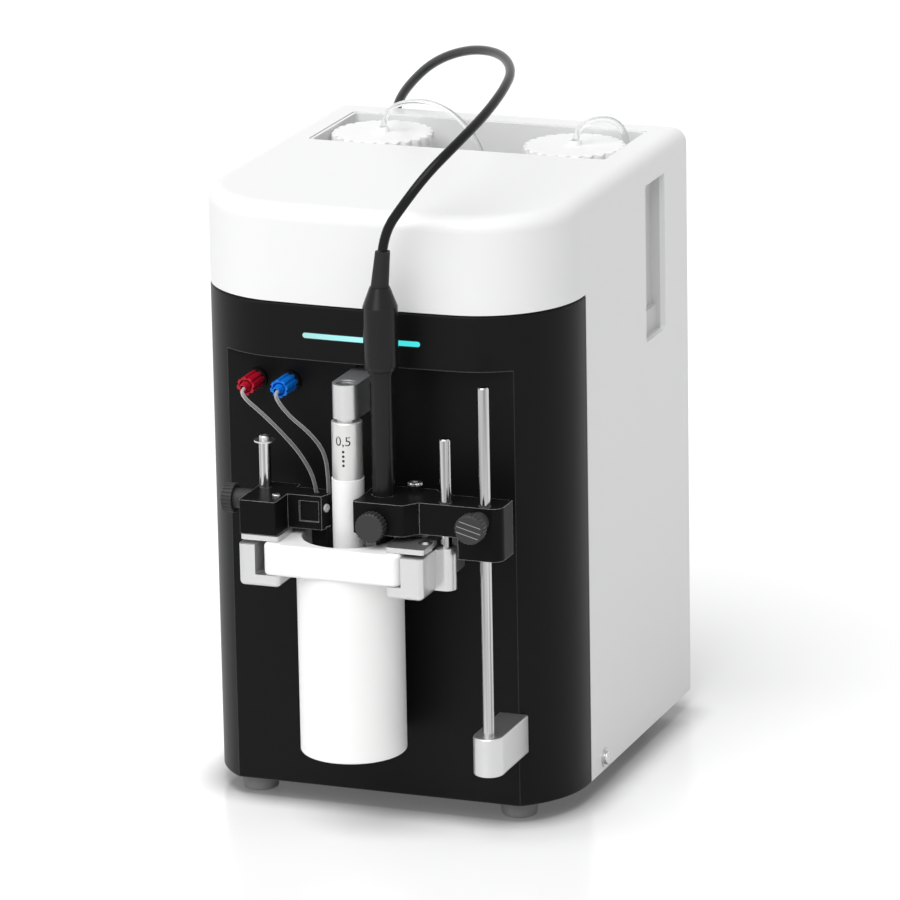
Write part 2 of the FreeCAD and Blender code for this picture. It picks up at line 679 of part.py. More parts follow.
def panel_lip():
    """Thin lip behind the seam, joined to the panel and clear of the cover."""
    z_seam = level(SPLIT_HEIGHT)
    outer_inset = COVER_WALL + FIT_GAP
    inner_inset = outer_inset + LIP_THICKNESS
    z_low = level(LEDGE_HEIGHT) + PANEL_WALL
    ring = body_prism(PANEL_WALL - 0.2, SIDE_SPLIT_DEPTH + LIP_REACH, z_low, z_seam + LIP_REACH)
    ring = ring.cut(body_prism(inner_inset, BODY_DEPTH, z_low - 1, z_seam + LIP_REACH + 1))
    band_low = z_seam - SEAM_GAP - LIP_REACH
    ring = ring.common(box(-BODY_WIDTH, BODY_WIDTH, -5, BODY_DEPTH, band_low, z_seam + LIP_REACH))
    side_low = UNDERSIDE + BASE_FLANGE_HEIGHT + 2 * FIT_GAP
    strip = body_prism(PANEL_WALL - 0.2, SIDE_SPLIT_DEPTH + LIP_REACH, side_low, z_seam)
    strip = strip.cut(body_prism(inner_inset, BODY_DEPTH, side_low - 1, z_seam + 1))
    strip = strip.common(box(-BODY_WIDTH, BODY_WIDTH, SIDE_SPLIT_DEPTH - SEAM_GAP - LIP_REACH,
                             SIDE_SPLIT_DEPTH + LIP_REACH, side_low, z_seam))
    lip = ring.fuse(strip)
    clear = body_prism(-1, BODY_DEPTH, 0, BODY_TOP)
    clear = clear.cut(body_prism(outer_inset, BODY_DEPTH + 1, -1, BODY_TOP + 1))
    above = box(-BODY_WIDTH, BODY_WIDTH, -10, BODY_DEPTH, z_seam - SEAM_GAP, BODY_TOP)
    behind = box(-BODY_WIDTH, BODY_WIDTH, SIDE_SPLIT_DEPTH - SEAM_GAP, BODY_DEPTH, 0, BODY_TOP)
    lip = lip.cut([clear.common(above), clear.common(behind)])
    return lip


def arm_slot(y0, y1):
    """Slot that the piston arm moves in."""
    half = ARM_HALF_WIDTH + SLOT_CLEARANCE
    return box(-half, half, y0, y1,
               level(ARM_BOTTOM_HEIGHT) - PISTON_HALF_STROKE - SLOT_CLEARANCE,
               level(ARM_TOP_HEIGHT) + PISTON_HALF_STROKE + SLOT_CLEARANCE)


def bracket_screw_places():
    """Screws that hold the fork and the rod foot from behind, as x and height."""
    places = []
    for x in (-FORK_WALL_MIDDLE, FORK_WALL_MIDDLE):
        places.append((x, FORK_BOTTOM_HEIGHT + SCREW_INSET))
        places.append((x, FORK_TOP_HEIGHT - SCREW_INSET))
    foot_x = LONG_ROD_OFFSET - ROD_FOOT_RADIUS + SCREW_INSET
    places.append((foot_x, ROD_FOOT_BOTTOM_HEIGHT + SCREW_INSET))
    places.append((foot_x, ROD_FOOT_TOP_HEIGHT - SCREW_INSET))
    return places


def bracket_screw_holes():
    """Blind holes for those screws in the back of a bracket."""
    return [bar_y(x, level(z), FLAT_SETBACK - BRACKET_SCREW_BITE, FLAT_SETBACK + 1,
                  SCREW_SHANK_RADIUS) for x, z in bracket_screw_places()]


def led_slot():
    """Stadium through the front strip for the light bar."""
    r = LED_HEIGHT / 2
    half = LED_LENGTH / 2 - LED_HEIGHT / 2
    z = level(LED_CENTRE_HEIGHT)
    return fuse([box(-half, half, -2, LED_THICKNESS, z - r, z + r),
                 bar_y(-half, z, -2, LED_THICKNESS, r), bar_y(half, z, -2, LED_THICKNESS, r)])


def make_front_panel():
    """Black moulded front: bowed strip above, flat recessed panel below."""
    top = level(SPLIT_HEIGHT) - SEAM_GAP
    rear = SIDE_SPLIT_DEPTH - SEAM_GAP
    outer = rounded_body(0, rear, UNDERSIDE, top, PANEL_TOP_FILLET)
    recess = box(-BODY_WIDTH, BODY_WIDTH, -10, FLAT_SETBACK, 0, level(LEDGE_HEIGHT))
    outer = outer.cut(recess)
    lower = body_prism(PANEL_WALL, rear + 1, UNDERSIDE - 1, top + 1)
    lower = lower.cut(box(-BODY_WIDTH, BODY_WIDTH, -10, PANEL_BACK, 0, BODY_TOP))
    upper = body_prism(PANEL_WALL, rear + 1, level(LEDGE_HEIGHT) + PANEL_WALL, top + 1)
    shell = outer.cut([lower, upper])
    shell = fuse([shell, panel_lip()])
    cuts = [arm_slot(FLAT_SETBACK - 1, PANEL_BACK + 1), led_slot()]
    for x in (RED_FITTING_OFFSET, BLUE_FITTING_OFFSET):
        cuts.append(bar_y(x, level(FITTING_HEIGHT), FLAT_SETBACK - 1, PANEL_BACK + 1, UNION_RADIUS))
    for x, z in bracket_screw_places():
        cuts.append(bar_y(x, level(z), FLAT_SETBACK - 1, PANEL_BACK + 1, SCREW_SHANK_RADIUS))
    return shell.cut(cuts)


def make_base_plate():
    """Steel tray with turned-up sides and studs for the board."""
    inset = COVER_WALL + FIT_GAP
    plate = body_prism(inset, REAR_PANEL_FRONT - FIT_GAP, UNDERSIDE, UNDERSIDE + BASE_THICKNESS)
    front = box(-BODY_WIDTH, BODY_WIDTH, -10, PANEL_BACK + FIT_GAP, 0, BODY_TOP)
    plate = plate.cut(front)
    flanges = []
    x_out = HALF_WIDTH - inset
    for side in (-1, 1):
        x0, x1 = sorted((side * x_out, side * (x_out - BASE_THICKNESS)))
        flanges.append(box(x0, x1, SIDE_SPLIT_DEPTH + LIP_REACH, REAR_PANEL_FRONT - FIT_GAP,
                           UNDERSIDE, UNDERSIDE + BASE_FLANGE_HEIGHT))
    studs = []
    for x in (-BOARD_HALF_WIDTH + 5, BOARD_HALF_WIDTH - 5):
        for y in (BOARD_FRONT + 5, BOARD_REAR - 5):
            studs.append(post(x, y, UNDERSIDE + BASE_THICKNESS,
                              UNDERSIDE + BASE_THICKNESS + BOARD_STANDOFF, 3.0))
    tray = fuse([plate] + flanges + studs)
    cuts = [bar_x(SIDE_SCREW_DEPTH, level(SIDE_SCREW_HEIGHT), -BODY_WIDTH, BODY_WIDTH,
                  SCREW_SHANK_RADIUS)]
    cuts += [post(x, y, 0, UNDERSIDE + BASE_THICKNESS + 1, SCREW_SHANK_RADIUS) for x, y in FEET]
    return tray.cut(cuts)


def make_rear_panel():
    """Flat rear panel with vents and cut-outs for the connectors."""
    inset = COVER_WALL + FIT_GAP
    plate = rounded_body(inset, BODY_DEPTH, UNDERSIDE, BODY_TOP - inset, TOP_FILLET - COVER_WALL)
    slab = box(-BODY_WIDTH, BODY_WIDTH, REAR_PANEL_FRONT, REAR_PANEL_BACK, 0, BODY_TOP)
    plate = plate.common(slab)
    y0, y1 = REAR_PANEL_FRONT - 1, REAR_PANEL_BACK + 1
    cuts = []
    for side in (-1, 1):
        for i in range(VENT_COUNT):
            z = level(VENT_BASE_HEIGHT + i * VENT_PITCH)
            x = side * VENT_SIDE_OFFSET
            half = (VENT_LENGTH - VENT_HEIGHT) / 2
            slot = [box(x - half, x + half, y0, y1, z - VENT_HEIGHT / 2, z + VENT_HEIGHT / 2),
                    bar_y(x - half, z, y0, y1, VENT_HEIGHT / 2),
                    bar_y(x + half, z, y0, y1, VENT_HEIGHT / 2)]
            cuts.append(fuse(slot))
    cuts.append(connector_block(INLET_OFFSET, INLET_HEIGHT, INLET_WIDTH, INLET_TALL, y0, y1))
    cuts.append(connector_block(INLET_OFFSET, SWITCH_HEIGHT, SWITCH_WIDTH, SWITCH_TALL, y0, y1))
    cuts.append(connector_block(USB_OFFSET, USB_HEIGHT, USB_WIDTH, USB_TALL, y0, y1))
    cuts.append(bar_y(SOCKET_OFFSET, level(SOCKET_HEIGHT), y0, y1, SOCKET_RADIUS))
    cuts += [bar_y(x, z, y0, y1, SCREW_SHANK_RADIUS) for x, z in rear_screw_places()]
    return plate.cut(cuts)


def make_rubber_feet():
    """Four tapered rubber feet with a recess for their screw."""
    feet = []
    for x, y in FEET:
        foot = cone(x, y, 0, UNDERSIDE, FOOT_BOTTOM_RADIUS, FOOT_TOP_RADIUS)
        foot = foot.makeFillet(1.0, edges_at_height(foot, 0))
        foot = foot.cut([post(x, y, -1, FOOT_RECESS_DEPTH, SCREW_HEAD_RADIUS + 0.6),
                         post(x, y, -1, UNDERSIDE + 1, SCREW_SHANK_RADIUS)])
        feet.append(foot)
    return Part.Compound(feet)


def pan_head_screw(length):
    """Pan head screw, its head below height 0 and its shank above."""
    head = post(0, 0, -SCREW_HEAD_HEIGHT, 0, SCREW_HEAD_RADIUS)
    head = head.makeFillet(SCREW_HEAD_HEIGHT * 0.5, edges_at_height(head, -SCREW_HEAD_HEIGHT))
    return fuse([head, post(0, 0, 0, length, SCREW_SHANK_RADIUS)])


def placed(shape, position, direction):
    """Copy with its upright axis turned to a direction and moved to a place."""
    copy = shape.copy()
    copy.Placement = FreeCAD.Placement(Vector(*position),
                                       FreeCAD.Rotation(Vector(0, 0, 1), Vector(*direction)))
    return copy


def make_housing_screws():
    """Screws of the feet, sides, rear panel and front brackets, with the side washers."""
    screws = []
    for x, y in FEET:
        screws.append(placed(pan_head_screw(UNDERSIDE + BASE_THICKNESS - FOOT_RECESS_DEPTH + 2),
                             (x, y, FOOT_RECESS_DEPTH), (0, 0, 1)))
    for side in (-1, 1):
        at = (side * (HALF_WIDTH + WASHER_THICKNESS), SIDE_SCREW_DEPTH, level(SIDE_SCREW_HEIGHT))
        screws.append(placed(pan_head_screw(COVER_WALL + BASE_THICKNESS + 2), at, (-side, 0, 0)))
        washer = Part.makeCylinder(WASHER_RADIUS, WASHER_THICKNESS)
        washer = washer.cut(Part.makeCylinder(SCREW_SHANK_RADIUS, WASHER_THICKNESS))
        screws.append(placed(washer, (side * HALF_WIDTH, at[1], at[2]), (side, 0, 0)))
    for x, z in rear_screw_places():
        screws.append(placed(pan_head_screw(REAR_BOSS_LENGTH - 2), (x, REAR_PANEL_BACK, z),
                             (0, -1, 0)))
    length = PLATE_THICKNESS + PANEL_WALL + BRACKET_SCREW_BITE
    for x, z in bracket_screw_places():
        screws.append(placed(pan_head_screw(length), (x, PLATE_BACK, level(z)), (0, -1, 0)))
    return Part.Compound(screws)


def make_led_bar():
    """Light guide whose front follows the bow of the strip."""
    return led_slot().common(body_prism(0, BODY_DEPTH, UNDERSIDE, BODY_TOP))


def make_bottle_well():
    """White tray that holds both bottles, hung under the top by a flange."""
    gap = FIT_GAP
    rim = level(BODY_HEIGHT) - 0.5
    floor_low = level(BOTTLE_SEAT_HEIGHT) - WELL_WALL
    outer = rounded_block(-WELL_HALF_WIDTH + gap, WELL_HALF_WIDTH - gap, WELL_FRONT + gap,
                          WELL_REAR - gap, floor_low, rim, WELL_CORNER_RADIUS)
    inset = gap + WELL_WALL
    floor = level(BOTTLE_SEAT_HEIGHT) + WELL_FLOOR_ABOVE_SEAT
    inner = rounded_block(-WELL_HALF_WIDTH + inset, WELL_HALF_WIDTH - inset, WELL_FRONT + inset,
                          WELL_REAR - inset, floor, rim + 1, WELL_CORNER_RADIUS - 1)
    under_top = BODY_TOP - COVER_WALL
    flange = box(-WELL_HALF_WIDTH - WELL_FLANGE, WELL_HALF_WIDTH + WELL_FLANGE,
                 WELL_FRONT - WELL_FLANGE, WELL_REAR + WELL_FLANGE,
                 under_top - WELL_WALL, under_top)
    tray = fuse([outer, flange]).cut(inner)
    seats = [post(side * BOTTLE_OFFSET, WELL_MIDDLE, level(BOTTLE_SEAT_HEIGHT), floor + 1,
                  BOTTLE_RADIUS + gap) for side in (-1, 1)]
    return tray.cut(seats)


def make_side_grip(side):
    """Moulded cup behind the slot in one side, with a finger step at its foot."""
    wall_inner = HALF_WIDTH - COVER_WALL
    back = HALF_WIDTH - GRIP_DEPTH
    z0, z1 = level(GRIP_BOTTOM), level(GRIP_TOP)
    t = GRIP_WALL
    cup = box(back - t, wall_inner, GRIP_FRONT - t, GRIP_REAR + t, z0 - t, z1 + t)
    cup = cup.makeFillet(GRIP_CORNER_RADIUS, [e for e in cup.Edges
                                              if e.BoundBox.XMax - e.BoundBox.XMin > 1])
    flange = box(wall_inner - t, wall_inner, GRIP_FRONT - GRIP_FLANGE, GRIP_REAR + GRIP_FLANGE,
                 z0 - GRIP_FLANGE, z1 + GRIP_FLANGE)
    hollow = box(back, wall_inner + 1, GRIP_FRONT, GRIP_REAR, z0, z1)
    step = box(back - 1, back + GRIP_STEP_DEPTH, GRIP_FRONT - t, GRIP_REAR + t, z0 - t,
               z0 + GRIP_STEP_HEIGHT)
    grip = fuse([cup, flange]).cut(hollow)
    grip = fuse([grip, step.common(cup)])
    if side < 0:
        grip = grip.mirror(Vector(0, 0, 0), Vector(1, 0, 0))
    return grip


def make_side_grips():
    """Grip cups of both sides."""
    return Part.Compound([make_side_grip(-1), make_side_grip(1)])


def make_bottle(side):
    """Glass laboratory bottle with a shoulder and a threaded neck."""
    z = level(BOTTLE_SEAT_HEIGHT)
    r = BOTTLE_RADIUS
    n = BOTTLE_NECK_RADIUS
    t = BOTTLE_GLASS
    top = z + BOTTLE_HEIGHT - CAP_NECK_GAP
    neck = top - BOTTLE_NECK_HEIGHT
    shoulder = z + BOTTLE_SHOULDER_HEIGHT
    profile = [(0, z), (r - 2, z), (r, z + 2), (r, shoulder), (r - 2.5, shoulder + 4),
               (n, neck), (n, top), (n - t - 1, top), (n - t - 1, neck),
               (r - t - 2.5, shoulder + 2), (r - t, shoulder - 2), (r - t, z + t + 2),
               (r - t - 2, z + t), (0, z + t)]
    return revolve_profile(profile, side * BOTTLE_OFFSET, WELL_MIDDLE)


def make_bottle_cap(side, tube_diameter):
    """Screw cap with rounded lobes and a port for the tube."""
    x = side * BOTTLE_OFFSET
    top = level(CAP_TOP_HEIGHT)
    face = lobed_face(CAP_RADIUS, CAP_LOBES, CAP_LOBE_DEPTH, CAP_LOBE_SHARE)
    body = face.extrude(Vector(0, 0, CAP_HEIGHT))
    body.translate(Vector(x, WELL_MIDDLE, top - CAP_HEIGHT))
    rim = CAP_RADIUS + CAP_EDGE_CHAMFER
    crown = cone(x, WELL_MIDDLE, top - 2 * CAP_EDGE_CHAMFER, top, rim, CAP_RADIUS - CAP_EDGE_CHAMFER)
    skirt = post(x, WELL_MIDDLE, top - CAP_HEIGHT, top - 2 * CAP_EDGE_CHAMFER, rim)
    body = body.common(fuse([crown, skirt]))
    port = cone(x, WELL_MIDDLE, top - 1, top + CAP_PORT_HEIGHT, CAP_PORT_RADIUS,
                CAP_PORT_RADIUS - 0.8)
    body = fuse([body, port])
    bore = post(x, WELL_MIDDLE, top - CAP_HEIGHT - 1, top - CAP_TOP_THICKNESS,
                BOTTLE_NECK_RADIUS + CAP_NECK_GAP)
    hole = post(x, WELL_MIDDLE, top - CAP_HEIGHT, top + CAP_PORT_HEIGHT + 1,
                tube_diameter / 2 + FIT_GAP)
    return body.cut([bore, hole])


# Front: cell, fork, clamps and tube holder

def make_measuring_cell():
    """White cell: square collar with a ring opening, beaker below, narrow gap bore."""
    y = CELL_AXIS_SETBACK
    z0 = level(COLLAR_BOTTOM_HEIGHT)
    z1 = level(COLLAR_TOP_HEIGHT)
    collar = rounded_block(COLLAR_LEFT, COLLAR_RIGHT, y - COLLAR_HALF_DEPTH,
                           y + COLLAR_HALF_DEPTH, z0, z1, COLLAR_CORNER_RADIUS)
    collar = collar.makeFillet(COLLAR_EDGE_RADIUS,
                               edges_at_height(collar, z1) + edges_at_height(collar, z0))
    beaker = post(0, y, level(CELL_BOTTOM_HEIGHT), z0, CELL_RADIUS)
    beaker = beaker.makeFillet(1.0, edges_at_height(beaker, level(CELL_BOTTOM_HEIGHT)))
    cell = fuse([collar, beaker])
    cuts = [post(0, y, level(CELL_BORE_FLOOR_HEIGHT), z1 + 1, CELL_BORE_RADIUS),
            post(0, y, level(GAP_BORE_FLOOR_HEIGHT), z1, GAP_BORE_RADIUS),
            cone(0, y, z1 - BORE_CHAMFER, z1 + BORE_CHAMFER, CELL_BORE_RADIUS,
                 CELL_BORE_RADIUS + 2 * BORE_CHAMFER)]
    for x0, radius in ((UPPER_ELECTRODE_HEIGHT, CELL_BORE_RADIUS),
                       (LOWER_ELECTRODE_HEIGHT, GAP_BORE_RADIUS)):
        cuts.append(post(0, y, level(x0), level(x0) + ELECTRODE_HEIGHT, radius + ELECTRODE_WIDTH))
    return cell.cut(cuts)


def make_cell_electrodes():
    """Metal rings set in the wall of the chamber and of the gap bore."""
    rings = []
    for height, radius in ((UPPER_ELECTRODE_HEIGHT, CELL_BORE_RADIUS),
                           (LOWER_ELECTRODE_HEIGHT, GAP_BORE_RADIUS)):
        z0 = level(height)
        ring = post(0, CELL_AXIS_SETBACK, z0, z0 + ELECTRODE_HEIGHT, radius + ELECTRODE_WIDTH)
        rings.append(ring.cut(post(0, CELL_AXIS_SETBACK, z0, z0 + ELECTRODE_HEIGHT, radius)))
    return Part.Compound(rings)


def fork_arm(side):
    """L-shaped arm that carries one side of the collar."""
    z0, z1 = level(FORK_BOTTOM_HEIGHT), level(FORK_TOP_HEIGHT)
    outer, inner, toe = FORK_RIGHT_REACHES if side > 0 else FORK_LEFT_REACHES
    wall = box(inner, outer, FORK_FRONT, FLAT_SETBACK, z0, z1)
    foot = box(toe, outer, FORK_FRONT, FLAT_SETBACK, z0, z0 + FORK_FOOT_THICKNESS)
    arm = fuse([wall, foot])
    low = [e for e in edges_along_y(arm) if abs(e.BoundBox.ZMax - z0) < 1e-6]
    arm = arm.makeFillet(FORK_EDGE_RADIUS, low)
    front = [e for e in upright_edges(arm) if abs(e.BoundBox.YMin - FORK_FRONT) < 1e-6
             and abs(e.Vertexes[0].X - inner) > 1e-6]
    arm = arm.makeFillet(FORK_CORNER_RADIUS, front)
    if side < 0:
        arm = arm.mirror(Vector(0, 0, 0), Vector(1, 0, 0))
    cuts = [post(side * FORK_WALL_MIDDLE, CLAMP_PIVOT_SETBACK, z1 - 10, z1 + 1,
                 SCREW_SHANK_RADIUS)]
    return arm.cut(cuts + bracket_screw_holes())


def make_fork_left():
    """Left arm of the fork, bored for the post of the tube holder."""
    z1 = level(FORK_TOP_HEIGHT)
    seat = post(-FORK_WALL_MIDDLE, POST_SETBACK, z1 - POST_SEAT_DEPTH, z1 + 1, POST_RADIUS)
    return fork_arm(-1).cut(seat)


def make_fork_right():
    """Right arm of the fork with the boss of the short rod."""
    z0, z1 = level(FORK_BOTTOM_HEIGHT) + BOSS_LIFT, level(FORK_TOP_HEIGHT)
    boss = post(SHORT_ROD_OFFSET, ROD_SETBACK, z0, z1 + 0.5, BOSS_RADIUS)
    web = box(FORK_HALF_WIDTH - 1, SHORT_ROD_OFFSET, ROD_SETBACK - BOSS_RADIUS,
              ROD_SETBACK + BOSS_RADIUS, z0, z1)
    arm = fuse([fork_arm(1), boss, web])
    seat = post(SHORT_ROD_OFFSET, ROD_SETBACK, z1 + 0.5 - ROD_SEAT_DEPTH, z1 + 2, ROD_RADIUS)
    return arm.cut(seat)


def make_clamp_plate(side):
    """Flat plate that swings over the collar about its screw."""
    z0, z1 = level(CLAMP_BOTTOM_HEIGHT), level(CLAMP_TOP_HEIGHT)
    outer = FORK_HALF_WIDTH - 0.5
    x0, x1 = outer - CLAMP_WIDTH, outer
    plate = rounded_block(x0, x1, CLAMP_FRONT, CLAMP_FRONT + CLAMP_LENGTH, z0, z1,
                          CLAMP_CORNER_RADIUS)
    cuts = [post(FORK_WALL_MIDDLE, CLAMP_PIVOT_SETBACK, z0 - 1, z1 + 1,
                 SCREW_SHANK_RADIUS + RUNNING_GAP),
            post(FORK_WALL_MIDDLE, CLAMP_PIVOT_SETBACK, z1 - PIVOT_HEAD_HEIGHT - 0.1, z1 + 1,
                 PIVOT_HEAD_RADIUS + FIT_GAP)]
    plate = plate.cut(cuts)
    if side < 0:
        plate = plate.mirror(Vector(0, 0, 0), Vector(1, 0, 0))
    return plate


def make_pivot_screws():
    """Shouldered screws that the clamp plates turn on."""
    screws = []
    seat = level(FORK_TOP_HEIGHT)
    plate_low = level(CLAMP_BOTTOM_HEIGHT)
    top = level(CLAMP_TOP_HEIGHT)
    for side in (-1, 1):
        x = side * FORK_WALL_MIDDLE
        y = CLAMP_PIVOT_SETBACK
        pieces = [post(x, y, seat - PIVOT_SEAT_DEPTH, top - PIVOT_HEAD_HEIGHT, SCREW_SHANK_RADIUS),
                  post(x, y, seat, plate_low - 0.1, SHOULDER_RADIUS),
                  post(x, y, top - PIVOT_HEAD_HEIGHT, top, PIVOT_HEAD_RADIUS)]
        if side > 0:
            dome = cone(x, y, top, top + PIVOT_DOME, PIVOT_HEAD_RADIUS, PIVOT_HEAD_RADIUS * 0.6)
            pieces.append(dome)
        screws.append(fuse(pieces))
    return Part.Compound(screws)


def make_tube_post():
    """Polished post that the tube holder slides on."""
    z1 = level(POST_TOP_HEIGHT)
    return post(-FORK_WALL_MIDDLE, POST_SETBACK, level(FORK_TOP_HEIGHT) - POST_SEAT_DEPTH, z1,
                POST_RADIUS)


def make_post_stop():
    """Washer and screw that end the holder's travel."""
    x = -FORK_WALL_MIDDLE
    z0 = level(POST_TOP_HEIGHT)
    washer = post(x, POST_SETBACK, z0, z0 + STOP_WASHER_THICKNESS, STOP_WASHER_RADIUS)
    head_z = z0 + STOP_WASHER_THICKNESS
    head = post(x, POST_SETBACK, head_z, head_z + STOP_SCREW_HEIGHT, STOP_SCREW_RADIUS)
    head = head.makeFillet(1.0, edges_at_height(head, head_z + STOP_SCREW_HEIGHT))
    socket = post(x, POST_SETBACK, head_z + STOP_SCREW_HEIGHT - 1.2, head_z + STOP_SCREW_HEIGHT + 1,
                  1.3)
    return fuse([washer, head]).cut(socket)


def make_tube_holder():
    """Black block on the post, with an arm, a tube guide and a leg into the cell."""
    z0, z1 = level(HOLDER_BOTTOM_HEIGHT), level(HOLDER_TOP_HEIGHT)
    block = rounded_block(-FORK_HALF_WIDTH, HOLDER_INNER, HOLDER_FRONT, HOLDER_REAR, z0, z1, 1.0)
    arm = box(HOLDER_INNER - 2, GUIDE_LEFT + 3, GUIDE_FRONT, GUIDE_REAR, z0, z1)
    guide = prism([(GUIDE_LEFT, GUIDE_FRONT), (GUIDE_RIGHT - GUIDE_BEVEL_WIDTH, GUIDE_FRONT),
                   (GUIDE_RIGHT, GUIDE_FRONT + GUIDE_BEVEL_DEPTH), (GUIDE_RIGHT, GUIDE_REAR),
                   (GUIDE_LEFT, GUIDE_REAR)], z0, z1)
    leg = rounded_block(LEG_LEFT, GUIDE_RIGHT, LEG_FRONT, LEG_REAR, level(LEG_BOTTOM_HEIGHT),
                        z0 + 1, 1.0)
    holder = fuse([block, arm, guide, leg])
    window = box(GUIDE_LEFT + 3, GUIDE_RIGHT - 4, GUIDE_FRONT - 1, GUIDE_FRONT + 1.2, z0 + 4,
                 z1 - 3)
    bore = post(-FORK_WALL_MIDDLE, POST_SETBACK, z0 - 1, z1 + 1, POST_RADIUS + RUNNING_GAP)
    knob_hole = bar_x(POST_SETBACK, level(HOLDER_KNOB_HEIGHT), -FORK_HALF_WIDTH - 1,
                      -FORK_WALL_MIDDLE, KNOB_SCREW_RADIUS + RUNNING_GAP)
    cuts = [window, bore, knob_hole,
            post(HOLDER_INNER - 3.5, HOLDER_FRONT + 11, z1 - 6, z1 + 1, 1.2)]
    for x, y in (RED_CHANNEL, BLUE_CHANNEL):
        cuts.append(post(x, y, level(LEG_BOTTOM_HEIGHT) - 1, z1, DUCT_RADIUS))
        cuts.append(post(x, y, z1 - TUBE_SEAT_DEPTH, z1 + 1,
                         TITRANT_TUBE_DIAMETER / 2 + TUBE_SEAT_GAP))
    return holder.cut(cuts)


def make_holder_screw():
    """Small button screw on top of the tube holder."""
    x, y, z = HOLDER_INNER - 3.5, HOLDER_FRONT + 11, level(HOLDER_TOP_HEIGHT)
    head = post(x, y, z, z + 1.4, 2.2)
    head = head.makeFillet(0.6, edges_at_height(head, z + 1.4))
    return fuse([head, post(x, y, z - 5, z, 1.2)])


def knob(neck, screw):
    """Fluted knob with a neck and a screw, its outer face at height 0, screw upward."""
    body = fluted_disc(KNOB_RADIUS, KNOB_FLUTES, KNOB_FLUTE_DEPTH, KNOB_LENGTH)
    dome = cone(0, 0, 0, 1.0, KNOB_RADIUS - 0.8, KNOB_RADIUS + 0.4)
    rest = post(0, 0, 1.0, KNOB_LENGTH, KNOB_RADIUS + 0.4)
    body = body.common(fuse([dome, rest]))
    return fuse([body, post(0, 0, KNOB_LENGTH, KNOB_LENGTH + neck, KNOB_NECK_RADIUS),
                 post(0, 0, KNOB_LENGTH + neck, KNOB_LENGTH + neck + screw, KNOB_SCREW_RADIUS)])


def make_holder_knob():
    """Knob that locks the tube holder on its post."""
    screw = FORK_WALL / 2 - POST_RADIUS
    start = -FORK_HALF_WIDTH - FIT_GAP - HOLDER_KNOB_NECK - KNOB_LENGTH
    return placed(knob(HOLDER_KNOB_NECK, screw), (start, POST_SETBACK, level(HOLDER_KNOB_HEIGHT)),
                  (1, 0, 0))


# Piston and its drive

def make_piston_arm():
    """Aluminium arm with a round nose that carries the piston through the panel."""
    z0, z1 = level(ARM_BOTTOM_HEIGHT), level(ARM_TOP_HEIGHT)
    y = CELL_AXIS_SETBACK
    nose = post(0, y, z0, z1, ARM_HALF_WIDTH)
    arm = fuse([nose, box(-ARM_HALF_WIDTH, ARM_HALF_WIDTH, y, ARM_TAIL_DEPTH, z0, z1)])
    neck = post(0, y, level(SLEEVE_TOP_HEIGHT), z0, NECK_RADIUS)
    arm = fuse([arm, neck])
    return arm.cut([post(0, y, z1 - ARM_COUNTERBORE_DEPTH, z1 + 1, ARM_COUNTERBORE_RADIUS),
                    post(0, y, level(SLEEVE_TOP_HEIGHT) - 1, z1, SCREW_SHANK_RADIUS)])


def make_piston_screw():
    """Socket screw that holds the piston to the arm."""
    y = CELL_AXIS_SETBACK
    seat = level(ARM_TOP_HEIGHT) - ARM_COUNTERBORE_DEPTH
    head = post(0, y, seat, seat + 4.0, ARM_SCREW_RADIUS)
    socket = post(0, y, seat + 2.0, seat + 5.0, 2.0)
    shank = post(0, y, level(SLEEVE_TOP_HEIGHT) - 10, seat, SCREW_SHANK_RADIUS)
    return fuse([head, shank]).cut(socket)


def make_piston_sleeve():
    """Metal sleeve at the top of the piston."""
    y = CELL_AXIS_SETBACK
    z0, z1 = level(PISTON_SHOULDER_HEIGHT), level(SLEEVE_TOP_HEIGHT)
    sleeve = post(0, y, z0, z1, SLEEVE_RADIUS)
    sleeve = sleeve.makeChamfer(0.5, edges_at_height(sleeve, z1))
    return sleeve.cut([post(0, y, z0 + 8, z1 + 1, SCREW_SHANK_RADIUS),
                       post(0, y, z0 - 1, z0 + 8, NECK_RADIUS)])


def make_piston_rod():
    """White plunger that works in the gap bore."""
    y = CELL_AXIS_SETBACK
    z0, z1 = level(PISTON_TIP_HEIGHT), level(PISTON_SHOULDER_HEIGHT)
    rod = post(0, y, z0, z1, PISTON_RADIUS)
    rod = rod.makeFillet(1.0, edges_at_height(rod, z0))
    return fuse([rod, post(0, y, z1, z1 + 8, NECK_RADIUS)])


def make_piston_carriage():
    """Carriage on two guide rods, with the slotted yoke of the crank."""
    z0, z1 = level(CARRIAGE_BOTTOM_HEIGHT), level(CARRIAGE_TOP_HEIGHT)
    y0 = ARM_TAIL_DEPTH
    y1 = y0 + CARRIAGE_DEPTH
    block = box(-CARRIAGE_HALF_WIDTH, CARRIAGE_HALF_WIDTH, y0, y1, z0, z1)
    block = block.makeFillet(2.0, upright_edges(block))
    yoke = box(-YOKE_HALF_WIDTH, YOKE_HALF_WIDTH, y1, y1 + YOKE_THICKNESS, z0, z1)
    carriage = fuse([block, yoke])
    pin = CRANK_PIN_RADIUS + YOKE_SLOT_PLAY
    reach = PISTON_HALF_STROKE + FIT_GAP
    z = level(MOTOR_AXIS_HEIGHT)
    slot = fuse([box(-reach, reach, y1 - 2, y1 + YOKE_THICKNESS + 1, z - pin, z + pin),
                 bar_y(-reach, z, y1 - 2, y1 + YOKE_THICKNESS + 1, pin),
                 bar_y(reach, z, y1 - 2, y1 + YOKE_THICKNESS + 1, pin)])
    cuts = [slot]
    for side in (-1, 1):
        cuts.append(post(side * GUIDE_ROD_OFFSET, GUIDE_ROD_DEPTH, z0 - 1, z1 + 1,
                         GUIDE_ROD_RADIUS + RUNNING_GAP))
    return carriage.cut(cuts)


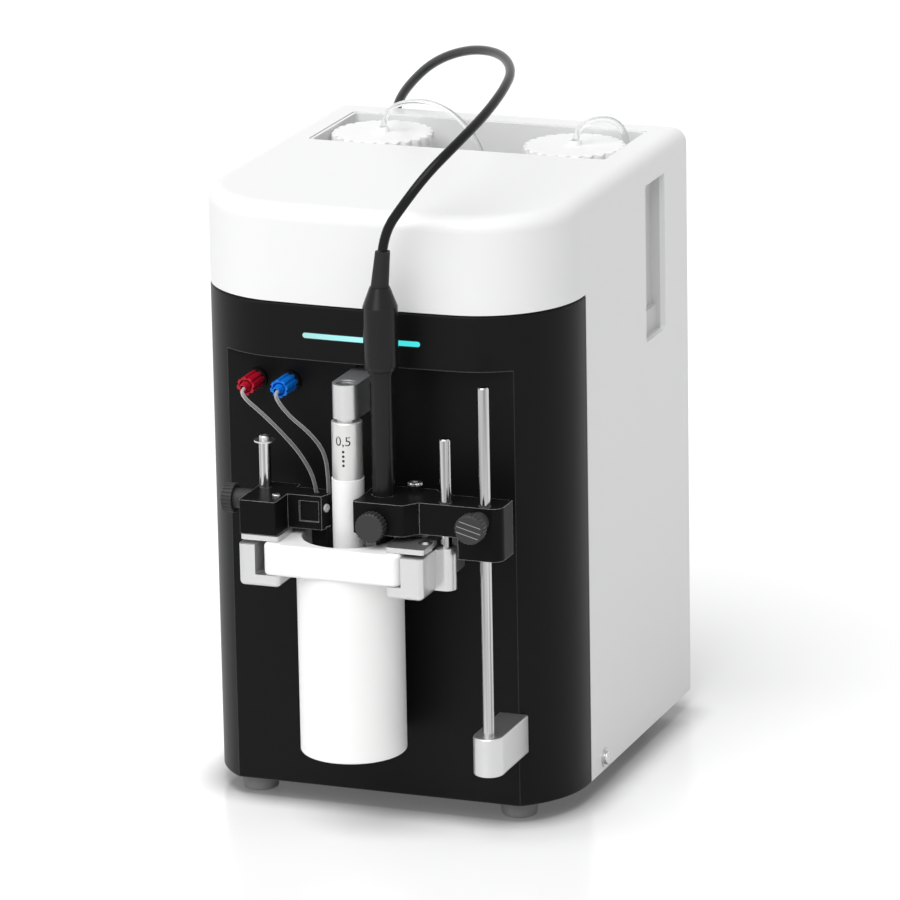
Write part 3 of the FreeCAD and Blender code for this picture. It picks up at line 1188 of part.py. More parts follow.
def make_guide_rods():
    """Two rods that guide the carriage."""
    return Part.Compound([post(side * GUIDE_ROD_OFFSET, GUIDE_ROD_DEPTH,
                               level(FRAME_BOTTOM_HEIGHT), level(FRAME_TOP_HEIGHT),
                               GUIDE_ROD_RADIUS) for side in (-1, 1)])


def make_drive_frame():
    """Frame on the mounting plate that holds the guide rods and the motor."""
    z0, z1 = level(FRAME_BOTTOM_HEIGHT), level(FRAME_TOP_HEIGHT)
    outer = box(-FRAME_HALF_WIDTH, FRAME_HALF_WIDTH, PLATE_BACK, FRAME_DEPTH, z0, z1)
    inner = box(-FRAME_HALF_WIDTH + FRAME_WALL, FRAME_HALF_WIDTH - FRAME_WALL, PLATE_BACK - 1,
                FRAME_DEPTH - FRAME_WALL, z0 + FRAME_CROSSBAR_HEIGHT, z1 - FRAME_CROSSBAR_HEIGHT)
    cuts = [inner, bar_y(0, level(MOTOR_AXIS_HEIGHT), FRAME_DEPTH - FRAME_WALL - 1,
                         FRAME_DEPTH + 1, MOTOR_RADIUS / 2)]
    for side in (-1, 1):
        cuts.append(post(side * GUIDE_ROD_OFFSET, GUIDE_ROD_DEPTH, z0 - 1, z1 + 1,
                         GUIDE_ROD_RADIUS))
        x0, x1 = sorted((side * (FRAME_HALF_WIDTH - FRAME_WALL - 1),
                         side * (FRAME_HALF_WIDTH + 1)))
        cuts.append(box(x0, x1, PLATE_BACK + 8, FRAME_DEPTH - 10, z0 + 14, z1 - 14))
    return outer.cut(cuts)


def make_drive_motor():
    """Geared motor with a round can and its front register."""
    z = level(MOTOR_AXIS_HEIGHT)
    can = bar_y(0, z, FRAME_DEPTH, FRAME_DEPTH + MOTOR_LENGTH, MOTOR_RADIUS)
    ends = [e for e in can.Edges if abs(e.BoundBox.YMin - FRAME_DEPTH - MOTOR_LENGTH) < 1e-6]
    can = can.makeFillet(1.5, ends)
    register = bar_y(0, z, FRAME_DEPTH - FRAME_WALL, FRAME_DEPTH, MOTOR_RADIUS / 2 - FIT_GAP)
    cap = bar_y(0, z, FRAME_DEPTH + MOTOR_LENGTH, FRAME_DEPTH + MOTOR_LENGTH + 5, MOTOR_RADIUS / 3)
    motor = fuse([can, register, cap])
    return motor.cut(bar_y(0, z, FRAME_DEPTH - FRAME_WALL - 1, FRAME_DEPTH + 10,
                           MOTOR_SHAFT_RADIUS + RUNNING_GAP))


def make_crank():
    """Crank disc with its pin in the yoke and its shaft in the motor."""
    z = level(MOTOR_AXIS_HEIGHT)
    yoke_back = ARM_TAIL_DEPTH + CARRIAGE_DEPTH + YOKE_THICKNESS
    disc_front = yoke_back + 1.0
    disc = bar_y(0, z, disc_front, disc_front + CRANK_THICKNESS, CRANK_RADIUS)
    pin = bar_y(PISTON_HALF_STROKE, z, yoke_back - YOKE_THICKNESS - 1, disc_front,
                CRANK_PIN_RADIUS)
    shaft = bar_y(0, z, disc_front + CRANK_THICKNESS, FRAME_DEPTH + MOTOR_SHAFT_REACH,
                  MOTOR_SHAFT_RADIUS)
    return fuse([disc, pin, shaft])


def make_mounting_plate():
    """Aluminium plate behind the panel that carries fork, rods and drive."""
    plate = box(-PLATE_HALF_WIDTH, PLATE_HALF_WIDTH, PANEL_BACK, PLATE_BACK,
                UNDERSIDE + BASE_THICKNESS, level(PLATE_TOP_HEIGHT))
    foot = box(-PLATE_HALF_WIDTH, PLATE_HALF_WIDTH, PANEL_BACK + FIT_GAP,
               PLATE_BACK + PLATE_FOOT_DEPTH, UNDERSIDE + BASE_THICKNESS,
               UNDERSIDE + BASE_THICKNESS + PLATE_THICKNESS)
    plate = fuse([plate, foot])
    cuts = [arm_slot(PANEL_BACK - 1, PLATE_BACK + 1)]
    for x in (RED_FITTING_OFFSET, BLUE_FITTING_OFFSET):
        cuts.append(bar_y(x, level(FITTING_HEIGHT), PANEL_BACK - 1, PLATE_BACK + 1, UNION_RADIUS))
    for x, z in bracket_screw_places():
        cuts.append(bar_y(x, level(z), PANEL_BACK - 1, PLATE_BACK + 1, SCREW_SHANK_RADIUS))
    cuts += [post(x, y, 0, UNDERSIDE + 8, SCREW_SHANK_RADIUS) for x, y in FEET]
    return plate.cut(cuts)


# Titrant fittings

def make_bulkhead_unions():
    """Threaded unions through the panel, one for each titrant."""
    unions = []
    z = level(FITTING_HEIGHT)
    tip = FLAT_SETBACK - UNION_FLANGE_THICKNESS - NUT_GAP - NUT_LENGTH + 4
    for x in (RED_FITTING_OFFSET, BLUE_FITTING_OFFSET):
        flange = bar_y(x, z, FLAT_SETBACK - UNION_FLANGE_THICKNESS, FLAT_SETBACK,
                       UNION_FLANGE_RADIUS)
        barrel = bar_y(x, z, tip, PLATE_BACK, UNION_RADIUS)
        bore = bar_y(x, z, tip - 1, PLATE_BACK + 1, TITRANT_TUBE_DIAMETER / 2 + TUBE_SEAT_GAP)
        unions.append(fuse([flange, barrel]).cut(bore))
    return Part.Compound(unions)


def make_fitting_nut(x):
    """Fluted finger-tight nut with a cone at its nose."""
    back = FLAT_SETBACK - UNION_FLANGE_THICKNESS - NUT_GAP
    body = fluted_disc(NUT_RADIUS, NUT_FLUTES, NUT_FLUTE_DEPTH, NUT_LENGTH)
    nose = Part.makeCone(2.6, 1.9, NUT_CONE_LENGTH, Vector(0, 0, NUT_LENGTH))
    dish = Part.makeCone(3.0, 3.6, 2.0, Vector(0, 0, NUT_LENGTH - 2.0))
    core = Part.makeCylinder(2.6, 2.0, Vector(0, 0, NUT_LENGTH - 2.0))
    body = fuse([body.cut(dish), core, nose])
    thread = Part.makeCylinder(UNION_RADIUS + RUNNING_GAP, NUT_LENGTH - 3.5)
    hole = Part.makeCylinder(TITRANT_TUBE_DIAMETER / 2 + FIT_GAP, NUT_LENGTH * 2)
    body = body.cut([thread, hole])
    return placed(body, (x, back, level(FITTING_HEIGHT)), (0, -1, 0))


def make_dosing_pumps():
    """Two small dosing pumps on the rear ends of the unions."""
    pumps = []
    z = level(FITTING_HEIGHT)
    for x in (RED_FITTING_OFFSET, BLUE_FITTING_OFFSET):
        head = bar_y(x, z, PLATE_BACK, PLATE_BACK + 10, PUMP_RADIUS)
        waist = bar_y(x, z, PLATE_BACK + 10, PLATE_BACK + 13, PUMP_RADIUS - 2)
        coil = bar_y(x, z, PLATE_BACK + 13, PLATE_BACK + PUMP_LENGTH, PUMP_RADIUS)
        port = post(x, PLATE_BACK + 5, z - PUMP_RADIUS - 5, z - PUMP_RADIUS + 2, 2.0)
        pumps.append(fuse([head, waist, coil, port]))
    return Part.Compound(pumps)


# Probe, carrier and rods

def make_probe_shaft():
    """Electrode shaft of the probe, its thinner stem down into the cell."""
    x, y = PROBE_OFFSET, PROBE_SETBACK
    stem = post(x, y, level(PROBE_TIP_HEIGHT), level(PROBE_STEP_HEIGHT), PROBE_STEM_RADIUS)
    stem = stem.makeFillet(1.5, edges_at_height(stem, level(PROBE_TIP_HEIGHT)))
    grip = post(x, y, level(PROBE_STEP_HEIGHT), level(PROBE_HEAD_BOTTOM_HEIGHT),
                PROBE_SHAFT_RADIUS)
    shaft = fuse([stem, grip])
    tip_slot = box(x - 1.6, x + 1.6, y - 10, y + 10, level(PROBE_TIP_HEIGHT) - 1,
                   level(PROBE_TIP_HEIGHT) + 8)
    return shaft.cut(tip_slot)


def make_probe_head():
    """Black head of the probe with its cone."""
    x, y = PROBE_OFFSET, PROBE_SETBACK
    z0, z1 = level(PROBE_HEAD_BOTTOM_HEIGHT), level(PROBE_CONE_HEIGHT)
    profile = [(0, z0), (PROBE_HEAD_RADIUS - 2.2, z0), (PROBE_HEAD_RADIUS - 2.2, z0 + 1.2),
               (PROBE_HEAD_RADIUS - 0.6, z0 + 2.0), (PROBE_HEAD_RADIUS, z0 + 4.0),
               (PROBE_HEAD_RADIUS, z1), (PROBE_CONE_TOP_RADIUS, z1 + PROBE_CONE_LENGTH),
               (0, z1 + PROBE_CONE_LENGTH)]
    return revolve_profile(profile, x, y)


def make_strain_relief():
    """Tapered rubber sleeve that leans with the start of the cable."""
    x, y = PROBE_OFFSET, PROBE_SETBACK
    z0 = level(PROBE_CONE_HEIGHT + PROBE_CONE_LENGTH)
    z1 = z0 + RELIEF_LENGTH
    rims = [Part.Circle(Vector(x, y, z0), Vector(0, 0, 1), RELIEF_BOTTOM_RADIUS),
            Part.Circle(Vector(x + RELIEF_LEAN, y, z1), Vector(0, 0, 1), RELIEF_TOP_RADIUS)]
    return Part.makeLoft([Part.Wire([rim.toShape()]) for rim in rims], True, True)


def carrier_plan():
    """Plan of the carrier: jaw around the probe, arm past both rods."""
    return [(JAW_LEFT, JAW_NOSE_REAR), (JAW_NOSE_LEFT, JAW_FRONT), (JAW_RIGHT, JAW_FRONT),
            (JAW_RIGHT + JAW_STEP, CARRIER_FRONT), (CARRIER_RIGHT, CARRIER_FRONT),
            (CARRIER_RIGHT, CARRIER_REAR), (JAW_RIGHT + JAW_STEP + 6, CARRIER_REAR),
            (JAW_RIGHT + JAW_STEP, JAW_REAR), (JAW_LEFT, JAW_REAR)]


def make_probe_carrier():
    """Black carrier that slides on both rods and grips the probe."""
    z0, z1 = level(CARRIER_BOTTOM_HEIGHT), level(CARRIER_TOP_HEIGHT)
    arm = prism(carrier_plan(), z0, z1)
    low = level(CARRIER_BLOCK_BOTTOM_HEIGHT)
    block = box(CARRIER_BLOCK_LEFT, CARRIER_RIGHT, CARRIER_FRONT, CARRIER_REAR, low, z1)
    carrier = fuse([arm, block])
    corner = [e for e in upright_edges(carrier)
              if abs(e.Vertexes[0].X - CARRIER_RIGHT) < 1e-6
              and abs(e.Vertexes[0].Y - CARRIER_FRONT) < 1e-6]
    carrier = carrier.makeFillet(CARRIER_CORNER_RADIUS, corner)
    small = [e for e in upright_edges(carrier)
             if e.Vertexes[0].X < JAW_RIGHT + JAW_STEP + 1 and e.Vertexes[0].Y < JAW_NOSE_REAR]
    carrier = carrier.makeFillet(2.0, small)
    cuts = [post(PROBE_OFFSET, PROBE_SETBACK, z0 - 1, z1 + 1, PROBE_SHAFT_RADIUS)]
    for x in (LONG_ROD_OFFSET, SHORT_ROD_OFFSET):
        cuts.append(post(x, ROD_SETBACK, low - 1, z1 + 1, ROD_RADIUS + RUNNING_GAP))
    cuts.append(bar_y(JAW_KNOB_OFFSET, level(JAW_KNOB_HEIGHT), JAW_FRONT - 1,
                      PROBE_SETBACK - PROBE_SHAFT_RADIUS + 1, KNOB_SCREW_RADIUS + RUNNING_GAP))
    cuts.append(bar_y(ROD_KNOB_OFFSET, level(ROD_KNOB_HEIGHT), CARRIER_FRONT - 1,
                      ROD_SETBACK - ROD_RADIUS, KNOB_SCREW_RADIUS + RUNNING_GAP))
    return carrier.cut(cuts)


def make_jaw_knob():
    """Knob that grips the probe in the jaw."""
    screw = PROBE_SETBACK - PROBE_SHAFT_RADIUS - JAW_FRONT - FIT_GAP
    start = JAW_FRONT - FIT_GAP - JAW_KNOB_NECK - KNOB_LENGTH
    return placed(knob(JAW_KNOB_NECK, screw), (JAW_KNOB_OFFSET, start, level(JAW_KNOB_HEIGHT)),
                  (0, 1, 0))


def make_rod_knob():
    """Knob that locks the carrier on the long rod."""
    screw = ROD_SETBACK - ROD_RADIUS - CARRIER_FRONT
    start = CARRIER_FRONT - FIT_GAP - ROD_KNOB_NECK - KNOB_LENGTH
    return placed(knob(ROD_KNOB_NECK, screw), (ROD_KNOB_OFFSET, start, level(ROD_KNOB_HEIGHT)),
                  (0, 1, 0))


def make_carrier_rods():
    """Long and short rod that the carrier slides on."""
    rods = []
    for x, low, high in ((LONG_ROD_OFFSET, ROD_FOOT_TOP_HEIGHT - ROD_SEAT_DEPTH,
                          LONG_ROD_TOP_HEIGHT),
                         (SHORT_ROD_OFFSET, FORK_TOP_HEIGHT + 0.5 - ROD_SEAT_DEPTH,
                          SHORT_ROD_TOP_HEIGHT)):
        rod = post(x, ROD_SETBACK, level(low), level(high), ROD_RADIUS)
        rods.append(rod.makeChamfer(0.6, edges_at_height(rod, level(high))))
    return Part.Compound(rods)


def make_rod_foot():
    """Oblong aluminium foot that holds the long rod off the panel."""
    z0, z1 = level(ROD_FOOT_BOTTOM_HEIGHT), level(ROD_FOOT_TOP_HEIGHT)
    x, r = LONG_ROD_OFFSET, ROD_FOOT_RADIUS
    nose = post(x, ROD_SETBACK, z0, z1, r)
    foot = fuse([nose, box(x - r, x + r, ROD_SETBACK, FLAT_SETBACK, z0, z1)])
    rims = [e for e in edges_at_height(foot, z1) + edges_at_height(foot, z0)
            if e.BoundBox.YMin < FLAT_SETBACK - 1]
    foot = foot.makeFillet(1.0, rims)
    seat = post(x, ROD_SETBACK, z1 - ROD_SEAT_DEPTH, z1 + 1, ROD_RADIUS)
    return foot.cut([seat] + bracket_screw_holes())


# Rear connectors, boards

def connector_block(x, height, width, tall, y0, y1):
    """Block of a connector's outline between two depths."""
    z = level(height)
    return box(x - width / 2, x + width / 2, y0, y1, z - tall / 2, z + tall / 2)


def make_power_inlet():
    """Mains inlet with three pins in its well."""
    y1 = REAR_PANEL_BACK + INLET_FLANGE_THICKNESS
    body = connector_block(INLET_OFFSET, INLET_HEIGHT, INLET_WIDTH, INLET_TALL,
                           REAR_PANEL_BACK - INLET_BODY_DEPTH, y1)
    flange = connector_block(INLET_OFFSET, INLET_HEIGHT, INLET_WIDTH + 2 * INLET_FLANGE,
                             INLET_TALL + 2 * INLET_FLANGE, REAR_PANEL_BACK, y1)
    well = connector_block(INLET_OFFSET, INLET_HEIGHT, INLET_WIDTH - 4, INLET_TALL - 6,
                           y1 - 16, y1 + 1)
    housing = fuse([body, flange]).cut(well)
    pins = [connector_block(INLET_OFFSET + dx, INLET_HEIGHT + dz, 2, 4, y1 - 17, y1 - 3)
            for dx, dz in ((-7, -2), (0, 2), (7, -2))]
    return fuse([housing] + pins)


def make_power_switch_frame():
    """Frame that the rocker tilts in."""
    y1 = REAR_PANEL_BACK + 1.5
    body = connector_block(INLET_OFFSET, SWITCH_HEIGHT, SWITCH_WIDTH, SWITCH_TALL,
                           REAR_PANEL_BACK - 14, y1)
    flange = connector_block(INLET_OFFSET, SWITCH_HEIGHT, SWITCH_WIDTH + 3, SWITCH_TALL + 3,
                             REAR_PANEL_BACK, y1)
    well = connector_block(INLET_OFFSET, SWITCH_HEIGHT, SWITCH_WIDTH - 3, SWITCH_TALL - 3,
                           REAR_PANEL_BACK - 8, y1 + 1)
    return fuse([body, flange]).cut(well)


def make_power_switch():
    """Rocker with a shallow V face."""
    z = level(SWITCH_HEIGHT)
    half = (SWITCH_WIDTH - 3) / 2 - 0.5
    y0 = REAR_PANEL_BACK - 2.5
    y1 = REAR_PANEL_BACK + 0.6
    tall = (SWITCH_TALL - 3) / 2 - FIT_GAP
    plan = [(INLET_OFFSET - half, y0), (INLET_OFFSET + half, y0), (INLET_OFFSET + half - 0.7, y1),
            (INLET_OFFSET, y1 - 1.4), (INLET_OFFSET - half + 0.7, y1)]
    rocker = prism(plan, z - tall, z + tall)
    rocker = fuse([rocker, post(INLET_OFFSET, y0, z - tall, z + tall, 1.5)])
    rocker.rotate(Vector(INLET_OFFSET, y0, z), Vector(0, 0, 1), -SWITCH_ROCK_DEGREES)
    return rocker


def make_usb_port():
    """Square data port with its tongue."""
    y1 = REAR_PANEL_BACK + 0.5
    shell = connector_block(USB_OFFSET, USB_HEIGHT, USB_WIDTH, USB_TALL, y1 - 16, y1)
    well = connector_block(USB_OFFSET, USB_HEIGHT, USB_WIDTH - 2.4, USB_TALL - 2.4, y1 - 12, y1 + 1)
    tongue = connector_block(USB_OFFSET, USB_HEIGHT, 5.6, 3.0, y1 - 12.5, y1 - 1.5)
    return fuse([shell.cut(well), tongue])


def make_probe_socket():
    """Round panel socket of the probe cable, with its ring nut."""
    z = level(SOCKET_HEIGHT)
    lip = REAR_PANEL_BACK + SOCKET_LIP
    barrel = bar_y(SOCKET_OFFSET, z, REAR_PANEL_BACK - SOCKET_DEPTH, lip, SOCKET_RADIUS)
    ring = bar_y(SOCKET_OFFSET, z, REAR_PANEL_BACK, lip - 0.4, SOCKET_RADIUS + 2)
    bore = bar_y(SOCKET_OFFSET, z, REAR_PANEL_BACK - SOCKET_DEPTH + 2, lip + 1, SOCKET_RADIUS - 2)
    return fuse([barrel, ring]).cut(bore)


def make_probe_plug():
    """Angled plug in the socket, its cable outlet pointing up."""
    z = level(SOCKET_HEIGHT)
    y0 = REAR_PANEL_BACK + SOCKET_LIP
    outlet = CABLE_ROUTE[-1][1]
    spigot = bar_y(SOCKET_OFFSET, z, REAR_PANEL_BACK - SOCKET_DEPTH + 3, y0,
                   SOCKET_RADIUS - 2 - TUBE_SEAT_GAP)
    body = bar_y(SOCKET_OFFSET, z, y0, outlet + PLUG_RADIUS * 0.8, PLUG_RADIUS)
    neck = post(SOCKET_OFFSET, outlet, z, z + PLUG_TOP_REACH, PLUG_NECK_RADIUS)
    relief_top = level(CABLE_ROUTE[-1][2]) - FIT_GAP
    relief = cone(SOCKET_OFFSET, outlet, z + PLUG_TOP_REACH, relief_top, 4.2, 3.4)
    return fuse([spigot, body, neck, relief])


def make_control_board():
    """Circuit board with its chips, coils and connectors."""
    z0 = UNDERSIDE + BASE_THICKNESS + BOARD_STANDOFF
    z1 = z0 + BOARD_THICKNESS
    board = rounded_block(-BOARD_HALF_WIDTH, BOARD_HALF_WIDTH, BOARD_FRONT, BOARD_REAR, z0, z1, 2.0)
    parts = [board]
    for x, y, w, d, h in BOARD_CHIPS:
        parts.append(box(x - w / 2, x + w / 2, y - d / 2, y + d / 2, z1, z1 + h))
    for x, y, r, h in BOARD_CAPACITORS:
        parts.append(post(x, y, z1, z1 + h, r))
    return fuse(parts)


def make_power_supply():
    """Folded metal case of the power supply with vent slots."""
    z0 = UNDERSIDE + BASE_THICKNESS
    z1 = z0 + SUPPLY_HEIGHT
    case = box(SUPPLY_LEFT, SUPPLY_RIGHT, SUPPLY_FRONT, SUPPLY_REAR, z0, z1)
    case = case.makeFillet(1.5, [e for e in case.Edges if abs(e.BoundBox.ZMin - z1) < 1e-6])
    cuts = [box(SUPPLY_LEFT + 12 + i * 9, SUPPLY_LEFT + 15 + i * 9, SUPPLY_FRONT + 8,
                SUPPLY_REAR - 8, z1 - 2, z1 + 1) for i in range(8)]
    return case.cut(cuts)


def nodes():
    """Every piece by name."""
    return {
        "top_cover": make_top_cover(),
        "front_panel": make_front_panel(),
        "base_plate": make_base_plate(),
        "rear_panel": make_rear_panel(),
        "rubber_feet": make_rubber_feet(),
        "housing_screws": make_housing_screws(),
        "led_bar": make_led_bar(),
        "bottle_well": make_bottle_well(),
        "side_grips": make_side_grips(),
        "bottle_left": make_bottle(-1),
        "bottle_right": make_bottle(1),
        "bottle_cap_left": make_bottle_cap(-1, LEFT_BOTTLE_TUBE_DIAMETER),
        "bottle_cap_right": make_bottle_cap(1, RIGHT_BOTTLE_TUBE_DIAMETER),
        "bottle_tube_left": cord("bottle_tube_left", LEFT_BOTTLE_TUBE_ROUTE,
                                 LEFT_BOTTLE_TUBE_DIAMETER),
        "bottle_tube_right": cord("bottle_tube_right", RIGHT_BOTTLE_TUBE_ROUTE,
                                  RIGHT_BOTTLE_TUBE_DIAMETER),
        "mounting_plate": make_mounting_plate(),
        "drive_frame": make_drive_frame(),
        "guide_rods": make_guide_rods(),
        "piston_carriage": make_piston_carriage(),
        "drive_motor": make_drive_motor(),
        "crank_disc": make_crank(),
        "dosing_pumps": make_dosing_pumps(),
        "control_board": make_control_board(),
        "power_supply": make_power_supply(),
        "power_inlet": make_power_inlet(),
        "switch_frame": make_power_switch_frame(),
        "power_switch": make_power_switch(),
        "usb_port": make_usb_port(),
        "probe_socket": make_probe_socket(),
        "probe_plug": make_probe_plug(),
        "probe_cable": cord("probe_cable", CABLE_ROUTE, CABLE_DIAMETER),
        "fork_left": make_fork_left(),
        "fork_right": make_fork_right(),
        "clamp_plate_left": make_clamp_plate(-1),
        "clamp_plate_right": make_clamp_plate(1),
        "pivot_screws": make_pivot_screws(),
        "tube_post": make_tube_post(),
        "post_stop": make_post_stop(),
        "tube_holder": make_tube_holder(),
        "holder_screw": make_holder_screw(),
        "holder_knob": make_holder_knob(),
        "measuring_cell": make_measuring_cell(),
        "cell_electrodes": make_cell_electrodes(),
        "piston_arm": make_piston_arm(),
        "piston_screw": make_piston_screw(),
        "piston_sleeve": make_piston_sleeve(),
        "piston_rod": make_piston_rod(),
        "probe_shaft": make_probe_shaft(),
        "probe_head": make_probe_head(),
        "strain_relief": make_strain_relief(),
        "probe_carrier": make_probe_carrier(),
        "jaw_knob": make_jaw_knob(),
        "rod_knob": make_rod_knob(),
        "carrier_rods": make_carrier_rods(),
        "rod_foot": make_rod_foot(),
        "bulkhead_unions": make_bulkhead_unions(),
        "nut_red": make_fitting_nut(RED_FITTING_OFFSET),
        "nut_blue": make_fitting_nut(BLUE_FITTING_OFFSET),
        "titrant_tube_red": cord("titrant_tube_red", RED_TUBE_ROUTE, TITRANT_TUBE_DIAMETER),
        "titrant_tube_blue": cord("titrant_tube_blue", BLUE_TUBE_ROUTE, TITRANT_TUBE_DIAMETER),
    }


def main():
    os.makedirs("parts", exist_ok=True)
    pieces = nodes()
    for name, shape in pieces.items():
        shape.translate(ORIGIN_SHIFT)
        solids = shape.Solids
        if not shape.isValid() or not solids:
            print("check", name, shape.isValid(), len(solids))
        if len(solids) == 1:
            solids[0].exportStep("parts/" + name + ".step")
        else:
            Part.Compound(solids).exportStep("parts/" + name + ".step")
    print(len(pieces), "nodes")


main()
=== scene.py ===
import math

import bpy
from mathutils import Matrix, Vector


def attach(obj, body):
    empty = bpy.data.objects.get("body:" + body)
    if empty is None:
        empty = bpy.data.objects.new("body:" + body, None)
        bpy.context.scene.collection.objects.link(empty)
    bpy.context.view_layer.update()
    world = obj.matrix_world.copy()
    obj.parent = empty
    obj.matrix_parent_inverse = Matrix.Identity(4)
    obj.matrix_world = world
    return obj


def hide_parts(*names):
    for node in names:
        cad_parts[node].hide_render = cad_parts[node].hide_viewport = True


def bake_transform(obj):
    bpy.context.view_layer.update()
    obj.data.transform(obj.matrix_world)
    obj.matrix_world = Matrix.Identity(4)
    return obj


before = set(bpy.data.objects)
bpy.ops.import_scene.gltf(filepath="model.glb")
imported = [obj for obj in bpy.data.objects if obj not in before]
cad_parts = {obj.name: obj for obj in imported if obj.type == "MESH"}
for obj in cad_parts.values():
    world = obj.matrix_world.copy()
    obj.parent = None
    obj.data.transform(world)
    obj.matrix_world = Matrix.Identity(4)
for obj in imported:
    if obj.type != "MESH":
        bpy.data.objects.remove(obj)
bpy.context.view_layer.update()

# The part's source gives places in millimetres from the foremost point of the housing
# and from its underside. SHIFT and LIFT bring them into the row frame.
SHIFT = -84.85
LIFT = 9.0


def place(x, y, z):
    """Row frame position in metres of a place in the source's millimetres."""
    return Vector((x / 1000, (y + SHIFT) / 1000, (z + LIFT) / 1000))


# Camera: the fitted view of the photo

PHOTO_SIDE = 900
SENSOR_WIDTH = 36
FOCAL_PIXELS = 6462.83
AZIMUTH = math.radians(20.93)
PITCH = math.radians(16.11)
ROLL = math.radians(-1.05)
DISTANCE = 3267.9
TARGET = place(47.26, 0, 191.16)


def make_camera():
    back = Vector((math.sin(AZIMUTH) * math.cos(PITCH), -math.cos(AZIMUTH) * math.cos(PITCH),
                   math.sin(PITCH)))
    level_right = (-back).cross(Vector((0, 0, 1))).normalized()
    level_up = level_right.cross(-back)
    right = math.cos(ROLL) * level_right + math.sin(ROLL) * level_up
    up = -math.sin(ROLL) * level_right + math.cos(ROLL) * level_up
    data = bpy.data.cameras.new("camera")
    data.lens = FOCAL_PIXELS / PHOTO_SIDE * SENSOR_WIDTH
    data.sensor_width = SENSOR_WIDTH
    data.clip_end = 100
    camera = bpy.data.objects.new("camera", data)
    turn = Matrix((right, up, back)).transposed().to_4x4()
    camera.matrix_world = Matrix.Translation(TARGET + back * DISTANCE / 1000) @ turn
    bpy.context.scene.collection.objects.link(camera)
    bpy.context.scene.camera = camera


make_camera()

# Materials

GRAIN_DEPTH = 0.0001
LED_HALF_LENGTH = 0.032
# Likeness of the rounded and the true normal where an edge begins to show and shows fully
EDGE_BEGINS = 0.97
EDGE_FULL = 0.88


def material(name, color, roughness=0.5, metallic=0.0, specular=0.5, transmission=0.0, ior=1.5):
    mat = bpy.data.materials.new(name)
    mat.use_nodes = True
    shader = shader_of(mat)
    shader.inputs["Base Color"].default_value = (*color, 1)
    shader.inputs["Roughness"].default_value = roughness
    shader.inputs["Metallic"].default_value = metallic
    shader.inputs["Specular IOR Level"].default_value = specular
    shader.inputs["Transmission Weight"].default_value = transmission
    shader.inputs["IOR"].default_value = ior
    return mat


def shader_of(mat):
    return mat.node_tree.nodes["Principled BSDF"]


def coordinates(mat, scale):
    """Object coordinates stretched by a scale for each axis."""
    tree = mat.node_tree
    source = tree.nodes.new("ShaderNodeTexCoord")
    mapping = tree.nodes.new("ShaderNodeMapping")
    mapping.inputs["Scale"].default_value = scale
    tree.links.new(source.outputs["Object"], mapping.inputs["Vector"])
    return mapping.outputs["Vector"]


def grain(mat, scale, strength):
    """Fine surface relief."""
    tree = mat.node_tree
    noise = tree.nodes.new("ShaderNodeTexNoise")
    noise.inputs["Scale"].default_value = scale
    noise.inputs["Detail"].default_value = 3
    bump = tree.nodes.new("ShaderNodeBump")
    bump.inputs["Strength"].default_value = strength
    bump.inputs["Distance"].default_value = GRAIN_DEPTH
    tree.links.new(coordinates(mat, (1, 1, 1)), noise.inputs["Vector"])
    tree.links.new(noise.outputs["Fac"], bump.inputs["Height"])
    tree.links.new(bump.outputs["Normal"], shader_of(mat).inputs["Normal"])
    return mat


def uneven_gloss(mat, scale, low, high, stretch=(1, 1, 1)):
    """Roughness that varies a little over the surface."""
    tree = mat.node_tree
    noise = tree.nodes.new("ShaderNodeTexNoise")
    noise.inputs["Scale"].default_value = scale
    noise.inputs["Detail"].default_value = 4
    spread = tree.nodes.new("ShaderNodeMapRange")
    spread.inputs["To Min"].default_value = low
    spread.inputs["To Max"].default_value = high
    tree.links.new(coordinates(mat, stretch), noise.inputs["Vector"])
    tree.links.new(noise.outputs["Fac"], spread.inputs["Value"])
    tree.links.new(spread.outputs["Result"], shader_of(mat).inputs["Roughness"])
    return mat


def edge_wear_and_highlight(mat, radius, color, edge_color):
    """Painted highlight along sharp edges, with wear where the part has it: lighter colour found
    where a rounded normal leaves the true one.
    """
    tree = mat.node_tree
    rounded = tree.nodes.new("ShaderNodeBevel")
    rounded.inputs["Radius"].default_value = radius
    flat = tree.nodes.new("ShaderNodeNewGeometry")
    likeness = tree.nodes.new("ShaderNodeVectorMath")
    likeness.operation = "DOT_PRODUCT"
    spread = tree.nodes.new("ShaderNodeMapRange")
    spread.inputs["From Min"].default_value = EDGE_BEGINS
    spread.inputs["From Max"].default_value = EDGE_FULL
    blend = tree.nodes.new("ShaderNodeMix")
    blend.data_type = "RGBA"
    blend.inputs["A"].default_value = (*color, 1)
    blend.inputs["B"].default_value = (*edge_color, 1)
    tree.links.new(rounded.outputs["Normal"], likeness.inputs[0])
    tree.links.new(flat.outputs["Normal"], likeness.inputs[1])
    tree.links.new(likeness.outputs["Value"], spread.inputs["Value"])
    tree.links.new(spread.outputs["Result"], blend.inputs["Factor"])
    tree.links.new(blend.outputs["Result"], shader_of(mat).inputs["Base Color"])
    return mat


def waxy(mat, weight, scale):
    """Light that spreads a little below the surface."""
    shader = shader_of(mat)
    shader.inputs["Subsurface Weight"].default_value = weight
    shader.inputs["Subsurface Scale"].default_value = scale
    shader.inputs["Subsurface Radius"].default_value = (1, 1, 1)
    return mat


